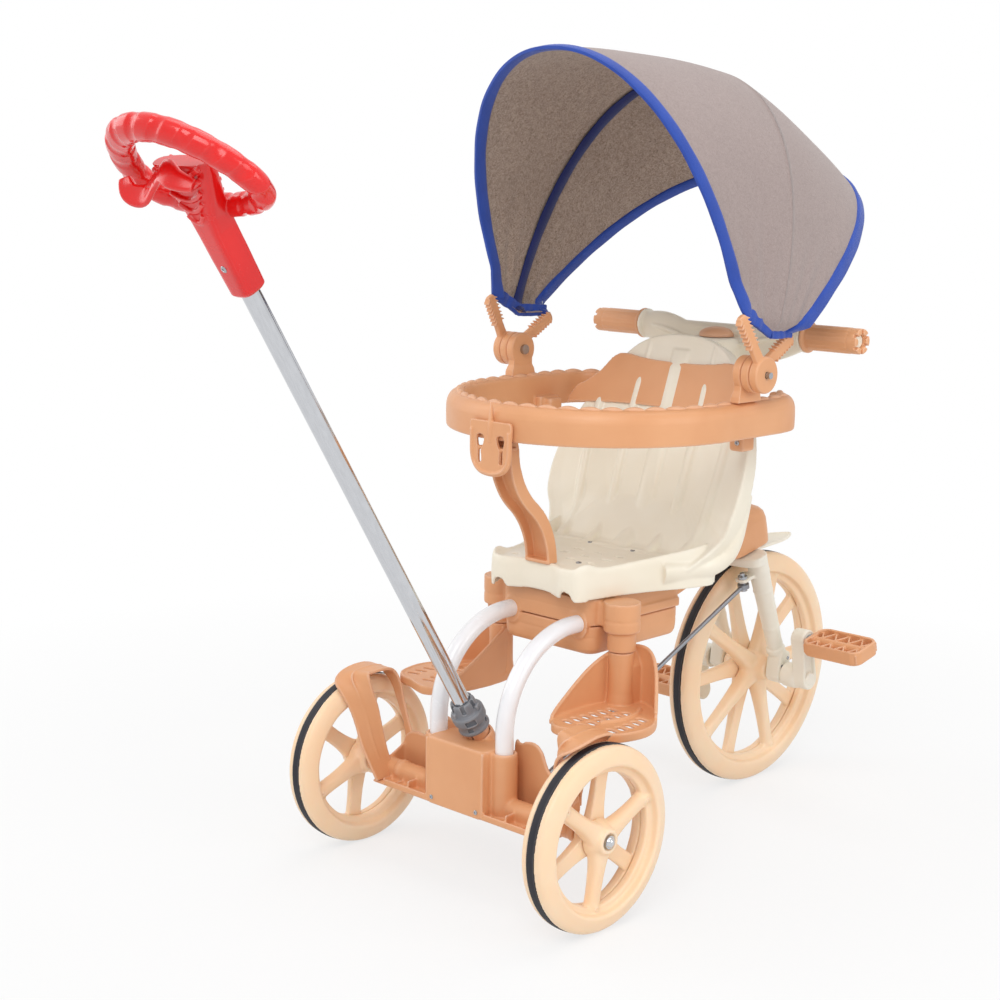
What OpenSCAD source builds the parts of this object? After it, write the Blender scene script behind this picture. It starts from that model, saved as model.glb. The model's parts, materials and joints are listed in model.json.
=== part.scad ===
// Children's tricycle with a reversed bucket seat, safety ring, folding
// canopy and a push pole that steers the front wheel through a rod.
// Frame: +Z up, +Y towards the front wheel, +X to the right of the rider's
// travel. The working origin is on the ground under the rear axle, and
// place() moves every node so that the box is centred on the origin.

/* [Wheels] */
// rear wheel diameter
rear_wheel_d = 220; // [216:2:222]
// front wheel diameter
front_wheel_d = 330; // [324:2:332]
// width of a wheel over its tread
tread_w = 42; // [40:1:43]
// distance between the rear wheels' middle planes
track = 402; // [400:2:410]
// distance from the rear axle to the front axle
wheelbase = 556; // [554:2:562]

/* [Seat and ring] */
// height of the seat pan's top above the ground
seat_h = 380; // [376:1:384]
// height of the safety ring's lower edge above the seat pan
ring_over_seat = 161; // [158:1:163]
// outside radius of the safety ring's round end
ring_r = 197; // [194:1:198]

/* [Canopy] */
// height of the middle of the arches above their hubs
canopy_h = 400; // [390:2:406]
// half width of the canopy's cloth
canopy_half_w = 222; // [220:1:226]
// lean of the front arch towards the push handle
front_bow_lean = 21.5; // [18:0.5:26]

/* [Push pole] */
// outside diameter of the push pole
pole_d = 21; // [19:0.5:22]
// length of the pole above the base
pole_len = 720; // [712:2:730]
// half width of the handle loop
loop_half_w = 90; // [80:1:96]

/* [Steering] */
// outside diameter of the steering stem
stem_d = 34; // [30:1:36]
// radius of the ear on the fork, where the rod is held
ear_r = 40; // [38:1:41]

/* [Hidden] */
$fn = 64;
eps = 0.01;
run_gap = 0.06; // radial clearance of a shaft that turns in a hole
body_gap = 0.4; // between faces of two bodies that move past each other
wall = 3.2; // moulded wall

rear_r = rear_wheel_d / 2;
front_r = front_wheel_d / 2;
half_track = track / 2;
pole_r = pole_d / 2;
stem_r = stem_d / 2;

tan_c = [0.86, 0.62, 0.45];
peach_c = [0.96, 0.83, 0.69];
cream_c = [0.94, 0.91, 0.84];
white_c = [0.95, 0.95, 0.95];
rubber_c = [0.1, 0.1, 0.13];
steel_c = [0.75, 0.76, 0.78];
red_c = [0.88, 0.06, 0.06];
grey_c = [0.45, 0.47, 0.48];
cloth_c = [0.66, 0.6, 0.58];

// The object's middle along Y: halfway between the handle's back and the
// front of the front wheel.
handle_back_y = -470.4;
middle_y = (handle_back_y + wheelbase + front_r) / 2;

module place() {
    translate([0, -middle_y, 0]) children();
}

// ---------------------------------------------------------------- helpers

// Its children, once as they are and once mirrored in the middle plane.
module both_sides() {
    children();
    mirror([1, 0, 0]) children();
}

// A cylinder or cone from point a to point b.
module rod_between(a, b, r1, r2) {
    v = b - a;
    translate(a)
        rotate([0, acos(v.z / norm(v)), atan2(v.y, v.x)])
            cylinder(h = norm(v), r1 = r1, r2 = r2);
}

// A cylinder along X from x0 to x1.
module x_rod(x0, x1, r, y = 0, z = 0) {
    translate([x0, y, z]) rotate([0, 90, 0]) cylinder(h = x1 - x0, r = r);
}

// A flat outline drawn in the plane of Y and Z, pulled out along X.
module along_x(x0, x1) {
    translate([x0, 0, 0]) rotate([90, 0, 90]) linear_extrude(x1 - x0) children();
}

// A section (X outwards, Y along the object's X) swept round an axis that
// runs along X, seen from the right as an arc about (y, z).
module arc_in_side_view(y, z, from, sweep) {
    translate([0, y, z]) rotate([90, 0, 90]) rotate(from) rotate_extrude(angle = sweep) children();
}

// A box given by its two corners.
module block(low, high) {
    translate(low) cube(high - low);
}

// A flat bar with round ends between two points. The ends stand a hair proud,
// so that arc and side cross instead of touching.
module bar(a, b, r) {
    v = b - a;
    half = r - 0.04;
    translate(a) {
        circle(r);
        rotate(atan2(v.y, v.x)) translate([0, -half]) square([norm(v), 2 * half]);
    }
    translate(b) circle(r);
}

// A polygon grown by r, with round corners.
module grown(points, r) {
    polygon(points);
    for (i = [0 : len(points) - 1])
        bar(points[i], points[(i + 1) % len(points)], r);
}

// A rectangle with round corners, centred.
module round_rect(w, d, r) {
    square([w - 2 * r, d], center = true);
    square([w, d - 2 * r], center = true);
    for (x = [-1, 1], y = [-1, 1])
        translate([x * (w / 2 - r), y * (d / 2 - r)]) circle(r);
}

// ----------------------------------------------------------------- wheels
// Each wheel is two moulded halves with a rubber band in the seam. A half is
// drawn with its seam at z = 0 and its outer face towards +Z.

band_w = 11;
band_depth = 7;
rim_wall = 3.4;
crown_step = 0.6; // how far the band stands out of the halves
axle_r = 5;
wheel_hub_r = 14.5;
seam_step = 0.2; // spokes and bosses stop this far short of the seam
screw_seat = 17.3; // seat of a clamping screw above the seam
screw_head_r = 3.2;

// Section of half a rim: r is the tread radius, opening the radius of the
// hole in the middle.
module rim_section(r, opening) {
    half = tread_w / 2;
    crown = r - crown_step;
    shoulder = 13;
    difference() {
        union() {
            translate([opening, 0]) square([crown - opening, band_w / 2]);
            translate([opening, 0]) square([crown - shoulder - opening, half - 3]);
            translate([crown - shoulder, half - shoulder - 1]) circle(shoulder);
            translate([opening + 4, 0]) square([crown - shoulder - opening - 8, half]);
            translate([opening + 4, half - 4]) circle(4);
        }
        // hollow inside, open at the seam
        translate([opening + rim_wall, -1])
            square([crown - band_depth - opening - 2 * rim_wall, half - rim_wall]);
        // groove for the band
        translate([r - band_depth, -1]) square([band_depth + 1, band_w / 2 + 1]);
        // everything past the seam
        translate([0, -half]) square([r + 1, half]);
    }
}

// One spoke: a tapered bar that bows outwards, from the hub to the rim.
module spoke(inner, outer, w0, w1) {
    difference() {
        translate([inner, 0, 7]) rotate([0, 90, 0]) cylinder(h = outer - inner, r1 = w0, r2 = w1);
        translate([inner - 1, -w0 - 1, -w0]) cube([outer - inner + 2, 2 * w0 + 2, w0 + seam_step]);
    }
}

module wheel_half(r, opening, spokes, phase, face, bore, screw_r) {
    difference() {
        union() {
            rotate_extrude() rim_section(r, opening);
            cylinder(h = face, r1 = wheel_hub_r + 8, r2 = wheel_hub_r);
            for (i = [0 : spokes - 1])
                rotate(phase + i * 360 / spokes)
                    spoke(wheel_hub_r - 2, opening + 1.5, 12, 9.5);
            for (i = [0 : spokes - 1])
                rotate(phase + i * 360 / spokes)
                    translate([screw_r, 0, seam_step]) cylinder(h = screw_seat, r = screw_head_r + 1.3);
        }
        translate([0, 0, -1]) cylinder(h = face + 2, r = bore);
        for (i = [0 : spokes - 1])
            rotate(phase + i * 360 / spokes)
                translate([screw_r, 0, screw_seat]) cylinder(h = 10, r = screw_head_r + 0.1);
    }
}

// Rubber band in the groove, round the Z axis.
module band(r) {
    rotate_extrude()
        translate([r - band_depth, -band_w / 2]) square([band_depth, band_w]);
}

rear_opening = 78;
rear_spokes = 3;
rear_phase = 22; // angle of the first spoke of an outer half
rear_face = 22; // half length of the hub
cap_r = 7.5;
cap_recess_r = 10;
cap_recess = 5;

// A wheel piece set on the rear axle: side is 1 on the right and -1 on the
// left, and turned 1 for the half that faces out.
module on_rear_axle(side, out) {
    translate([side * half_track, 0, rear_r])
        mirror([side < 0 ? 1 : 0, 0, 0])
            mirror([out < 0 ? 1 : 0, 0, 0])
                rotate([90, 0, 90]) children();
}

module rear_wheel_outer(side) {
    color(peach_c) on_rear_axle(side, 1)
        difference() {
            wheel_half(rear_r, rear_opening, rear_spokes, rear_phase, rear_face,
                axle_r + run_gap, rear_opening - 3);
            translate([0, 0, rear_face - cap_recess]) cylinder(h = cap_recess + 1, r = cap_recess_r);
        }
}

module rear_wheel_inner(side) {
    color(peach_c) on_rear_axle(side, -1)
        wheel_half(rear_r, rear_opening, rear_spokes, rear_phase + 180 / rear_spokes,
            rear_face, axle_r + run_gap, rear_opening - 3);
}

module rear_wheel_band(side) {
    color(rubber_c) on_rear_axle(side, 1) band(rear_r);
}

module rear_wheel_outer_right() { rear_wheel_outer(1); }
module rear_wheel_outer_left() { rear_wheel_outer(-1); }
module rear_wheel_inner_right() { rear_wheel_inner(1); }
module rear_wheel_inner_left() { rear_wheel_inner(-1); }
module rear_wheel_band_right() { rear_wheel_band(1); }
module rear_wheel_band_left() { rear_wheel_band(-1); }

axle_end = half_track + rear_face;

module rear_axle() {
    color(steel_c) x_rod(-axle_end + 2, axle_end - 2, axle_r, 0, rear_r);
}

// Cap nuts pressed on the axle's ends, inside the hub recesses.
module axle_caps() {
    color(steel_c) both_sides()
        difference() {
            union() {
                x_rod(axle_end - cap_recess + body_gap, axle_end, cap_r, 0, rear_r);
                translate([axle_end - 2, 0, rear_r])
                    intersection() {
                        sphere(cap_r - 1);
                        translate([0, -cap_r, -cap_r]) cube(2 * cap_r);
                    }
            }
            x_rod(0, axle_end - 2, axle_r, 0, rear_r);
        }
}

// -------------------------------------------------------------- rear base

tube_r = 11;
tube_x = 56; // middle of a frame tube from the middle plane
tube_y = -1;
tube_bend = 115; // bend radius of a frame tube

base_x = 50; // half width of the base's box
base_back = -30;
base_front = 22;
base_top = 180;
base_low = 96;
wing_x = 150; // end of a wing
wing_front = 30;
socket_r = 16;
socket_top = 176;
tunnel_r = 12;
tunnel_x = half_track - rear_face - 2.5;

pole_lean = 31.7; // of the push pole from the vertical
cup_y = 13.9; // where the pole's axis crosses the base's top
cup_z = base_top;

// The push pole's own frame: its axis is Z, and its origin is where the axis
// crosses the top of the base.
module on_pole() {
    translate([0, cup_y, cup_z]) rotate([pole_lean, 0, 0]) children();
}

module wing() {
    // floor, back lip and front wall with a rounded top
    block([base_x - 2, base_back, base_low], [wing_x, wing_front, base_low + wall]);
    block([base_x - 2, base_back, base_low], [wing_x - 24, base_back + wall, base_low + 9]);
    translate([0, wing_front, 0])
        rotate([90, 0, 0]) linear_extrude(wall) difference() {
            union() {
                translate([base_x - 2, base_low]) square([wing_x - base_x + 2, 50]);
                translate([base_x + 30, base_low + 50]) circle(24);
                translate([base_x - 2, base_low + 40]) square([32, 34]);
            }
            translate([wing_x, base_low + 60]) circle(20);
        }
    block([wing_x - wall, base_back + 8, base_low], [wing_x, wing_front, base_low + 26]);
    // tunnel for the axle, with its shelf
    x_rod(base_x - 4, tunnel_x, tunnel_r, 0, rear_r);
    block([base_x - 4, -tunnel_r, base_low], [wing_x - 1, tunnel_r, rear_r]);
}

module rear_base() {
    color(tan_c) difference() {
        union() {
            // box with round corners, hollow and open underneath
            difference() {
                translate([0, (base_back + base_front) / 2, base_low])
                    linear_extrude(base_top - base_low)
                        round_rect(2 * base_x, base_front - base_back, 8);
                translate([0, (base_back + base_front) / 2, base_low - 1])
                    linear_extrude(base_top - base_low - wall + 1)
                        round_rect(2 * (base_x - wall), base_front - base_back - 2 * wall, 5);
            }
            both_sides() {
                translate([tube_x, tube_y, base_low]) cylinder(h = socket_top - base_low, r = socket_r);
                wing();
            }
            x_rod(-base_x + 1, base_x - 1, tunnel_r, 0, rear_r);
            // boss that the pole's cup stands in
            intersection() {
                on_pole() translate([0, 0, -44]) cylinder(h = 60, r = pole_r + 8);
                block([-base_x, base_back, base_low], [base_x, 60, base_top]);
            }
        }
        // tube sockets, axle bore, pole bore, and the window for the arm
        both_sides()
            translate([tube_x, tube_y, base_low + 24]) cylinder(h = socket_top, r = tube_r);
        x_rod(-tunnel_x - 1, tunnel_x + 1, axle_r, 0, rear_r);
        on_pole() translate([0, 0, -90]) cylinder(h = 130, r = pole_r + 4);
        block([-(base_x - wall), tunnel_r + 1, base_low - 1],
            [base_x - wall, wing_front + 20, base_low + 42]);
    }
}

// Strap mudguard over one rear wheel: an arch with a leg at each end.
fender_in = 119;
fender_t = 3.2;
fender_x0 = half_track - 37;
fender_x1 = half_track + 4;

module fender_leg(top, mid, low, w_top, w_mid, w_low) {
    hull() {
        translate(top) cube([w_top, fender_t, fender_t]);
        translate(mid) cube([w_mid, fender_t, fender_t]);
    }
    hull() {
        translate(mid) cube([w_mid, fender_t, fender_t]);
        translate(low) cube([w_low, fender_t, fender_t]);
    }
}

module fender(side) {
    back_y = -52;
    front_y = 24;
    leg_w = 20;
    back_z = rear_r + sqrt(fender_in ^ 2 - back_y ^ 2);
    front_z = rear_r + sqrt(fender_in ^ 2 - front_y ^ 2);
    color(tan_c) mirror([side < 0 ? 1 : 0, 0, 0]) {
        intersection() {
            translate([fender_x0, 0, rear_r]) rotate([90, 0, 90])
                difference() {
                    cylinder(h = fender_x1 - fender_x0, r = fender_in + fender_t, $fn = 96);
                    translate([0, 0, -1])
                        cylinder(h = fender_x1 - fender_x0 + 2, r = fender_in, $fn = 96);
                }
            block([fender_x0, back_y, rear_r + 60], [fender_x1, front_y, rear_r + 140]);
        }
        fender_leg([fender_x0, back_y - 1, back_z - 1], [fender_x0 - 20, back_y + 12, 165],
            [wing_x - 22, base_back, base_low + wall], leg_w, 26, 18);
        fender_leg([fender_x0, front_y - 2, front_z - 1], [fender_x0 - 10, wing_front, 160],
            [wing_x - 18, wing_front, 140], leg_w, 16, 17);
    }
}

module fender_left() { fender(-1); }
module fender_right() { fender(1); }

// Split cup that the pole stands in, on the base's boss.
cup_top = 16;
cup_low = -44;
module pole_cup() {
    color(tan_c) on_pole() difference() {
        translate([0, 0, cup_low]) cylinder(h = cup_top - cup_low, r = pole_r + 4);
        translate([0, 0, cup_low - 1]) cylinder(h = cup_top - cup_low + 2, r = pole_r + run_gap);
        translate([-1.5, -pole_r - 6, 4]) cube([3, 2 * pole_r + 12, cup_top]);
    }
}

// ------------------------------------------------------ tubes and housing

// Bent tube from the base's socket into the housing.
module frame_tube(side) {
    start = base_low + 24;
    bend_z = tube_top - tube_bend;
    color(white_c) translate([side * tube_x, tube_y, 0]) {
        difference() {
            union() {
                translate([0, 0, start]) cylinder(h = bend_z - start, r = tube_r);
                arc_in_side_view(tube_bend, bend_z, 90, 90) translate([tube_bend, 0]) circle(tube_r);
                translate([0, tube_bend, tube_top]) rotate([-90, 0, 0]) cylinder(h = 130, r = tube_r);
            }
            translate([0, 0, start - 1]) cylinder(h = bend_z - start + 1, r = tube_r - 1.5);
        }
    }
}

module frame_tube_left() { frame_tube(-1); }
module frame_tube_right() { frame_tube(1); }

house_x = 78;
house_back = 125;
house_front = 302;
seat_low = seat_h - 36; // lower edge of the seat's skirt
house_top = seat_low - 1;
split_z = house_top - 34;
house_low = house_top - 71;
tube_top = split_z + 2; // height of the tube's level stretch
split_gap = 1;
post_x = 102; // footrest post
post_y = 154;
spigot_r = 12;
post_r = 15.5;
collar_low = house_low + 9;
spigot_top = house_top - 7;

module house_outline(inset) {
    translate([0, (house_back + house_front) / 2])
        round_rect(2 * (house_x - inset), house_front - house_back - 2 * inset, 18 - inset);
}

// Bars of the housing that grip the frame tubes.
module tube_grips(z0, z1) {
    both_sides() block([tube_x - 15, house_back + 1, z0], [tube_x + 15, house_back + 130, z1]);
}

module housing_bores() {
    both_sides()
        translate([tube_x, house_back - 1, tube_top]) rotate([-90, 0, 0]) cylinder(h = 122, r = tube_r);
}

module housing_upper() {
    color(tan_c) difference() {
        union() {
            difference() {
                translate([0, 0, split_z]) linear_extrude(house_top - split_z) house_outline(0);
                translate([0, 0, split_z - 1])
                    linear_extrude(house_top - split_z - wall + 1) house_outline(wall);
            }
            tube_grips(split_z, house_top - 1);
            both_sides() {
                translate([post_x, post_y, split_z]) cylinder(h = house_top - split_z, r = 22.5);
                translate([post_x, post_y, collar_low]) cylinder(h = split_z - collar_low + 1, r = 17.5);
                block([house_x - 4, post_y - 14, split_z], [post_x, post_y + 14, house_top - 4]);
            }
        }
        housing_bores();
        both_sides()
            translate([post_x, post_y, collar_low - 1]) cylinder(h = 58, r = spigot_r + run_gap);
        housing_screw_places() translate([0, 0, 26]) cylinder(h = 60, r = 2.5);
    }
}

module housing_screw_places() {
    for (x = [-24, 24], y = [house_back + 30, house_front - 30]) translate([x, y, house_low]) children();
}

module housing_lower() {
    color(tan_c) difference() {
        union() {
            difference() {
                union() {
                    translate([0, 0, house_low])
                        linear_extrude(split_z - split_gap - house_low) house_outline(1.5);
                    // bulge under the back
                    translate([0, house_back + 42, house_low + 2])
                        intersection() {
                            rotate([0, 90, 0]) cylinder(h = 2 * (house_x - 16), r = 9, center = true);
                            translate([-house_x, -20, -20]) cube([2 * house_x, 40, 21]);
                        }
                }
                translate([0, 0, house_low + wall])
                    linear_extrude(split_z - house_low) house_outline(wall + 1.5);
            }
            tube_grips(house_low + 1, split_z - split_gap);
            housing_screw_places() cylinder(h = split_z - split_gap - house_low, r = 6);
        }
        housing_bores();
        housing_screw_places() translate([0, 0, -9]) cylinder(h = 60, r = 2.5);
        housing_screw_places() translate([0, 0, -9]) cylinder(h = 15, r = 5);
    }
}

module housing_screws() {
    color(steel_c) housing_screw_places() {
        translate([0, 0, 3]) cylinder(h = 3, r = 4.5);
        translate([0, 0, 5]) cylinder(h = 50, r = 2.4);
    }
}

// --------------------------------------------------------------- steering

steer_lean = 12; // of the steering axis from the vertical, top towards the seat
steer_y = wheelbase - 59; // where the axis is steer_z above the ground
steer_z = 300;
head_z0 = 42; // of the head along the axis
head_z1 = 104;
crown_z0 = 27;
crown_z1 = 41;
crown_d = 34; // depth of the crown

// The steering frame: its Z is the steering axis.
module on_steer() {
    translate([0, steer_y, steer_z]) rotate([steer_lean, 0, 0]) children();
}

// Neck from the housing to the head, and the head that the stem turns in.
module head_frame() {
    color(tan_c) difference() {
        union() {
            // neck, a box beam rising under the seat
            along_x(-30, 30)
                polygon([[house_front, split_z - 9], [house_front + 20, split_z - 17],
                    [steer_y - 61, 330], [steer_y - 28, 337.5], [steer_y - 15, 398],
                    [steer_y - 57, 398], [steer_y - 97, house_top + 2], [house_front, house_top]]);
            on_steer() {
                translate([0, 0, head_z0]) cylinder(h = head_z1 - head_z0 + 6, r = stem_r + 5);
                // cover with a sloping nose
                intersection() {
                    translate([0, 16, head_z0]) linear_extrude(head_z1 - head_z0)
                        round_rect(84, 92, 22);
                    translate([0, 16, head_z0 - 10]) rotate([-14, 0, 0])
                        translate([-60, -80, -20]) cube([120, 160, head_z1 - head_z0 + 14]);
                }
            }
        }
        on_steer() {
            translate([0, 0, -30]) cylinder(h = 200, r = stem_r + run_gap);
            // hollow under the cover, round the sleeve
            difference() {
                translate([0, 16, head_z0 - 1]) linear_extrude(40) round_rect(76, 84, 18);
                translate([0, 0, head_z0 - 2]) cylinder(h = 45, r = stem_r + 5);
                translate([-32, -60, head_z0 - 2]) cube([64, 44, 45]);
            }
        }
        // hollow neck
        along_x(-26, 26)
            polygon([[house_front - 1, split_z - 5], [house_front + 22, split_z - 12],
                [steer_y - 63, 335], [steer_y - 51, 341], [steer_y - 45, 380],
                [steer_y - 57, 380], [steer_y - 95, house_top - 3], [house_front - 1, house_top - 5]]);
    }
}

leg_x = 46;
leg_top = [leg_x, steer_y + 2, 338];
leg_low = [leg_x, wheelbase + 2, 186];
ear_z = 8; // along the steering axis
ear_back = -16;
axle_z = front_r;
axle_front_r = 6;

module fork_leg() {
    rod_between(leg_top, leg_low, 16, 11);
    // collar above the axle block
    rod_between([leg_x, wheelbase - 3, 199], [leg_x, wheelbase - 0.5, 192.5], 13, 13);
    // axle block
    hull() {
        x_rod(leg_x - 7, leg_x + 15, 15, wheelbase, axle_z);
        x_rod(leg_x - 8, leg_x + 8, 11, wheelbase + 2, 188);
    }
}

module fork() {
    color(cream_c) difference() {
        union() {
            both_sides() fork_leg();
            on_steer() {
                translate([0, 0, crown_z0]) linear_extrude(crown_z1 - crown_z0)
                    union() {
                        square([2 * leg_x, crown_d], center = true);
                        both_sides() translate([leg_x, 0]) circle(17);
                    }
                // ear for the steering rod
                translate([0, 0, ear_z]) linear_extrude(5)
                    union() {
                        translate([ear_r, ear_back]) circle(8);
                        translate([ear_r - 8, ear_back]) square([16, 20]);
                    }
            }
        }
        both_sides() x_rod(leg_x - 12, leg_x + 20, axle_front_r + run_gap, wheelbase, axle_z);
        on_steer() {
            translate([0, 0, crown_z0 - 12]) cylinder(h = 40, r = stem_r - 4);
            translate([ear_r, ear_back, ear_z - 1]) cylinder(h = 8, r = 3.4 + run_gap);
        }
    }
}

bar_z = 646; // height of the grips
bar_y = steer_y - 27;
knob_z = bar_z - 8; // seat of the knob in the middle
knob_r = 24;
stem_top = 322; // along the steering axis

module steering_stem() {
    color(steel_c) on_steer() {
        difference() {
            translate([0, 0, crown_z1]) cylinder(h = stem_top - crown_z1, r = stem_r);
            translate([0, 0, crown_z1 - 1]) cylinder(h = stem_top - crown_z1 - 10, r = stem_r - 3);
        }
        translate([0, 0, crown_z0]) cylinder(h = crown_z1 - crown_z0, r = stem_r - 4);
    }
}

grip_in = 135;
grip_out = 219;
grip_r = 15;
bar_core_r = 9;

// Moulded handlebar: a boss on the stem, two leaf-shaped wings and a core
// that the grips are pushed on.
module handlebar() {
    color(cream_c) difference() {
        union() {
            on_steer() translate([0, 0, stem_top - 46]) cylinder(h = 48, r1 = 24, r2 = 30);
            x_rod(6 - grip_out, grip_out - 6, bar_core_r, bar_y, bar_z);
            both_sides() x_rod(grip_in - 4.5, grip_in, 20.5, bar_y, bar_z);
            // leaves, flat across the travel
            translate([0, bar_y + 9.5, 0]) rotate([90, 0, 0]) linear_extrude(19)
                intersection() {
                    grown([[-70, 622], [70, 622], [112, bar_z - 1], [74, bar_z - 2], [0, 633],
                        [-74, bar_z - 2], [-112, bar_z - 1]], 20);
                    square([2 * grip_in - 7, 2 * bar_z], center = true);
                }
            translate([0, bar_y - 14, 604]) cylinder(h = knob_z + 0.5 - 604, r = 36);
        }
        on_steer() translate([0, 0, stem_top - 80]) cylinder(h = 80, r = stem_r);
        translate([0, bar_y - 14, knob_z]) cylinder(h = 60, r = knob_r + 0.3);
    }
}

module grip(side) {
    color(tan_c) mirror([side < 0 ? 1 : 0, 0, 0]) difference() {
        union() {
            x_rod(grip_in, grip_out, grip_r, bar_y, bar_z);
            x_rod(grip_in, grip_in + 4, 20.5, bar_y, bar_z);
            for (x = [grip_in + 14 : 12 : grip_out - 8])
                x_rod(x, x + 5, grip_r + 1, bar_y, bar_z);
        }
        x_rod(grip_in - 1, grip_out - 6, bar_core_r, bar_y, bar_z);
        // notches round the end
        for (a = [0 : 45 : 135])
            translate([grip_out - 4, bar_y, bar_z]) rotate([a, 0, 0])
                translate([0, -2, -grip_r - 2]) cube([5, 4, 2 * grip_r + 4]);
    }
}

module grip_left() { grip(-1); }
module grip_right() { grip(1); }

module handlebar_knob() {
    color(tan_c) translate([0, bar_y - 14, knob_z]) {
        cylinder(h = 6, r = knob_r);
        intersection() {
            translate([0, 0, -22]) sphere(34);
            translate([0, 0, 5]) cylinder(h = 20, r = knob_r - 2);
        }
    }
}

// Thin guard tongue over the front wheel, with a tab on the crown's front.
guard_tip = wheelbase + 87;
guard_z = 342;
module mudguard() {
    color(cream_c) {
        translate([0, 0, guard_z]) linear_extrude(3) grown([[-26, wheelbase - 36], [26, wheelbase - 36],
            [18, wheelbase + 34], [0, guard_tip - 8], [-18, wheelbase + 34]], 8);
        on_steer() block([-20, crown_d / 2, crown_z1 - 5], [20, crown_d / 2 + 10, crown_z1 - 1]);
    }
}

module ear_bolt() {
    color(steel_c) on_steer() translate([ear_r, ear_back, ear_z]) {
        translate([0, 0, -11]) cylinder(h = 24, r = 3.4);
        translate([0, 0, 5 + eps]) cylinder(h = 3.5, r = 6.5);
        translate([0, 0, -13]) cylinder(h = 3.5, r = 4.8);
    }
}

// ------------------------------------------------------------ front wheel

front_opening = 130;
front_spokes = 5;
front_phase = 1;
front_face = 36;

module on_front_axle(side) {
    translate([0, wheelbase, axle_z]) mirror([side < 0 ? 1 : 0, 0, 0])
        rotate([90, 0, 90]) children();
}

module front_wheel_half(side, phase) {
    color(peach_c) on_front_axle(side)
        wheel_half(front_r, front_opening, front_spokes, phase, front_face,
            axle_front_r, front_opening + 1.5);
}

module front_wheel_right() { front_wheel_half(1, front_phase); }
module front_wheel_left() { front_wheel_half(-1, front_phase + 180 / front_spokes); }
module front_wheel_band() { color(rubber_c) on_front_axle(1) band(front_r); }

// Clamping screws through the two halves at the spoke ends.
module front_wheel_screws() {
    color(steel_c) for (side = [-1, 1], i = [0 : front_spokes - 1])
        on_front_axle(side)
            rotate((side > 0 ? front_phase : front_phase + 180 / front_spokes) + i * 360 / front_spokes)
                translate([front_opening + 1.5, 0, screw_seat]) cylinder(h = 1.8, r = screw_head_r);
}

crank_x0 = 63; // inner face of a crank's hub
crank_len = 58;
crank_tilt = 8; // of the raised crank from the vertical, towards the seat
spindle_r = 6;
pedal_in = 110;
pedal_out = 200;

module front_axle() {
    color(steel_c) x_rod(-crank_x0 - 16, crank_x0 + 16, axle_front_r, wheelbase, axle_z);
}

// A crank on the axle. up is 1 for the raised one and -1 for the lowered one.
module crank(side, up) {
    color(cream_c) translate([0, wheelbase, axle_z])
        rotate([up > 0 ? crank_tilt : 180 + crank_tilt, 0, 0])
            mirror([side < 0 ? 1 : 0, 0, 0])
                difference() {
                    union() {
                        x_rod(crank_x0, crank_x0 + 24, 17);
                        along_x(crank_x0 + 20, crank_x0 + 42)
                            union() {
                                circle(15);
                                translate([-15, 0]) square([30, crank_len]);
                                translate([0, crank_len]) circle(15);
                            }
                    }
                    x_rod(0, crank_x0 + 16, axle_front_r);
                    x_rod(crank_x0 + 24, pedal_in + 1, spindle_r, 0, crank_len);
                    // relief between the side walls of the arm
                    block([crank_x0 + 34, -9, 14], [crank_x0 + 43, 9, crank_len - 13]);
                }
}

module crank_right() { crank(1, 1); }
module crank_left() { crank(-1, -1); }

// Where a pedal's spindle lies: side 1 is the raised right one.
function spindle_y(side) = wheelbase - side * crank_len * sin(crank_tilt);
function spindle_z(side) = axle_z + side * crank_len * cos(crank_tilt);

module pedal_spindles() {
    color(steel_c) for (side = [-1, 1]) mirror([side < 0 ? 1 : 0, 0, 0])
        difference() {
            union() {
                x_rod(crank_x0 + 24, pedal_out - 2, spindle_r, spindle_y(side), spindle_z(side));
                x_rod(crank_x0 + 42, pedal_in - 1, spindle_r + 2.5, spindle_y(side), spindle_z(side));
            }
        }
}

pedal_d = 55;
pedal_h = 20;
pedal_tilt = 12;

module pedal(side) {
    color(tan_c) translate([0, spindle_y(side), spindle_z(side)]) rotate([pedal_tilt, 0, 0])
        mirror([side < 0 ? 1 : 0, 0, 0])
            difference() {
                union() {
                    translate([(pedal_in + pedal_out) / 2, 0, -pedal_h / 2])
                        linear_extrude(pedal_h) difference() {
                            round_rect(pedal_out - pedal_in, pedal_d, 12);
                            round_rect(pedal_out - pedal_in - 7, pedal_d - 7, 9);
                        }
                    x_rod(pedal_in + 1, pedal_out - 1, spindle_r + 3);
                    // slanting ribs between the frame and the middle tube
                    translate([0, 0, -pedal_h / 2 + 3]) linear_extrude(pedal_h - 6)
                        intersection() {
                            for (i = [0 : 4], s = [-1, 1])
                                bar([pedal_in + 8 + i * 17, s * 3], [pedal_in + 18 + i * 17, s * 26], 1.2);
                            translate([pedal_in + 1, -pedal_d / 2 + 1])
                                square([pedal_out - pedal_in - 2, pedal_d - 2]);
                        }
                }
                x_rod(pedal_in - 1, pedal_out + 1, spindle_r + run_gap);
            }
}

module pedal_left() { pedal(-1); }
module pedal_right() { pedal(1); }

// -------------------------------------------------------------- push pole

arm_r = 34; // reach of the arm under the pole
arm_back = -12;
arm_z = -72; // of the arm along the pole
eye_r = 8;

module push_pole() {
    color(steel_c) on_pole() difference() {
        translate([0, 0, arm_z - 6]) cylinder(h = pole_len - arm_z + 6, r = pole_r);
        translate([0, 0, arm_z - 7]) cylinder(h = pole_len - arm_z, r = pole_r - 1.2);
    }
}

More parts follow.
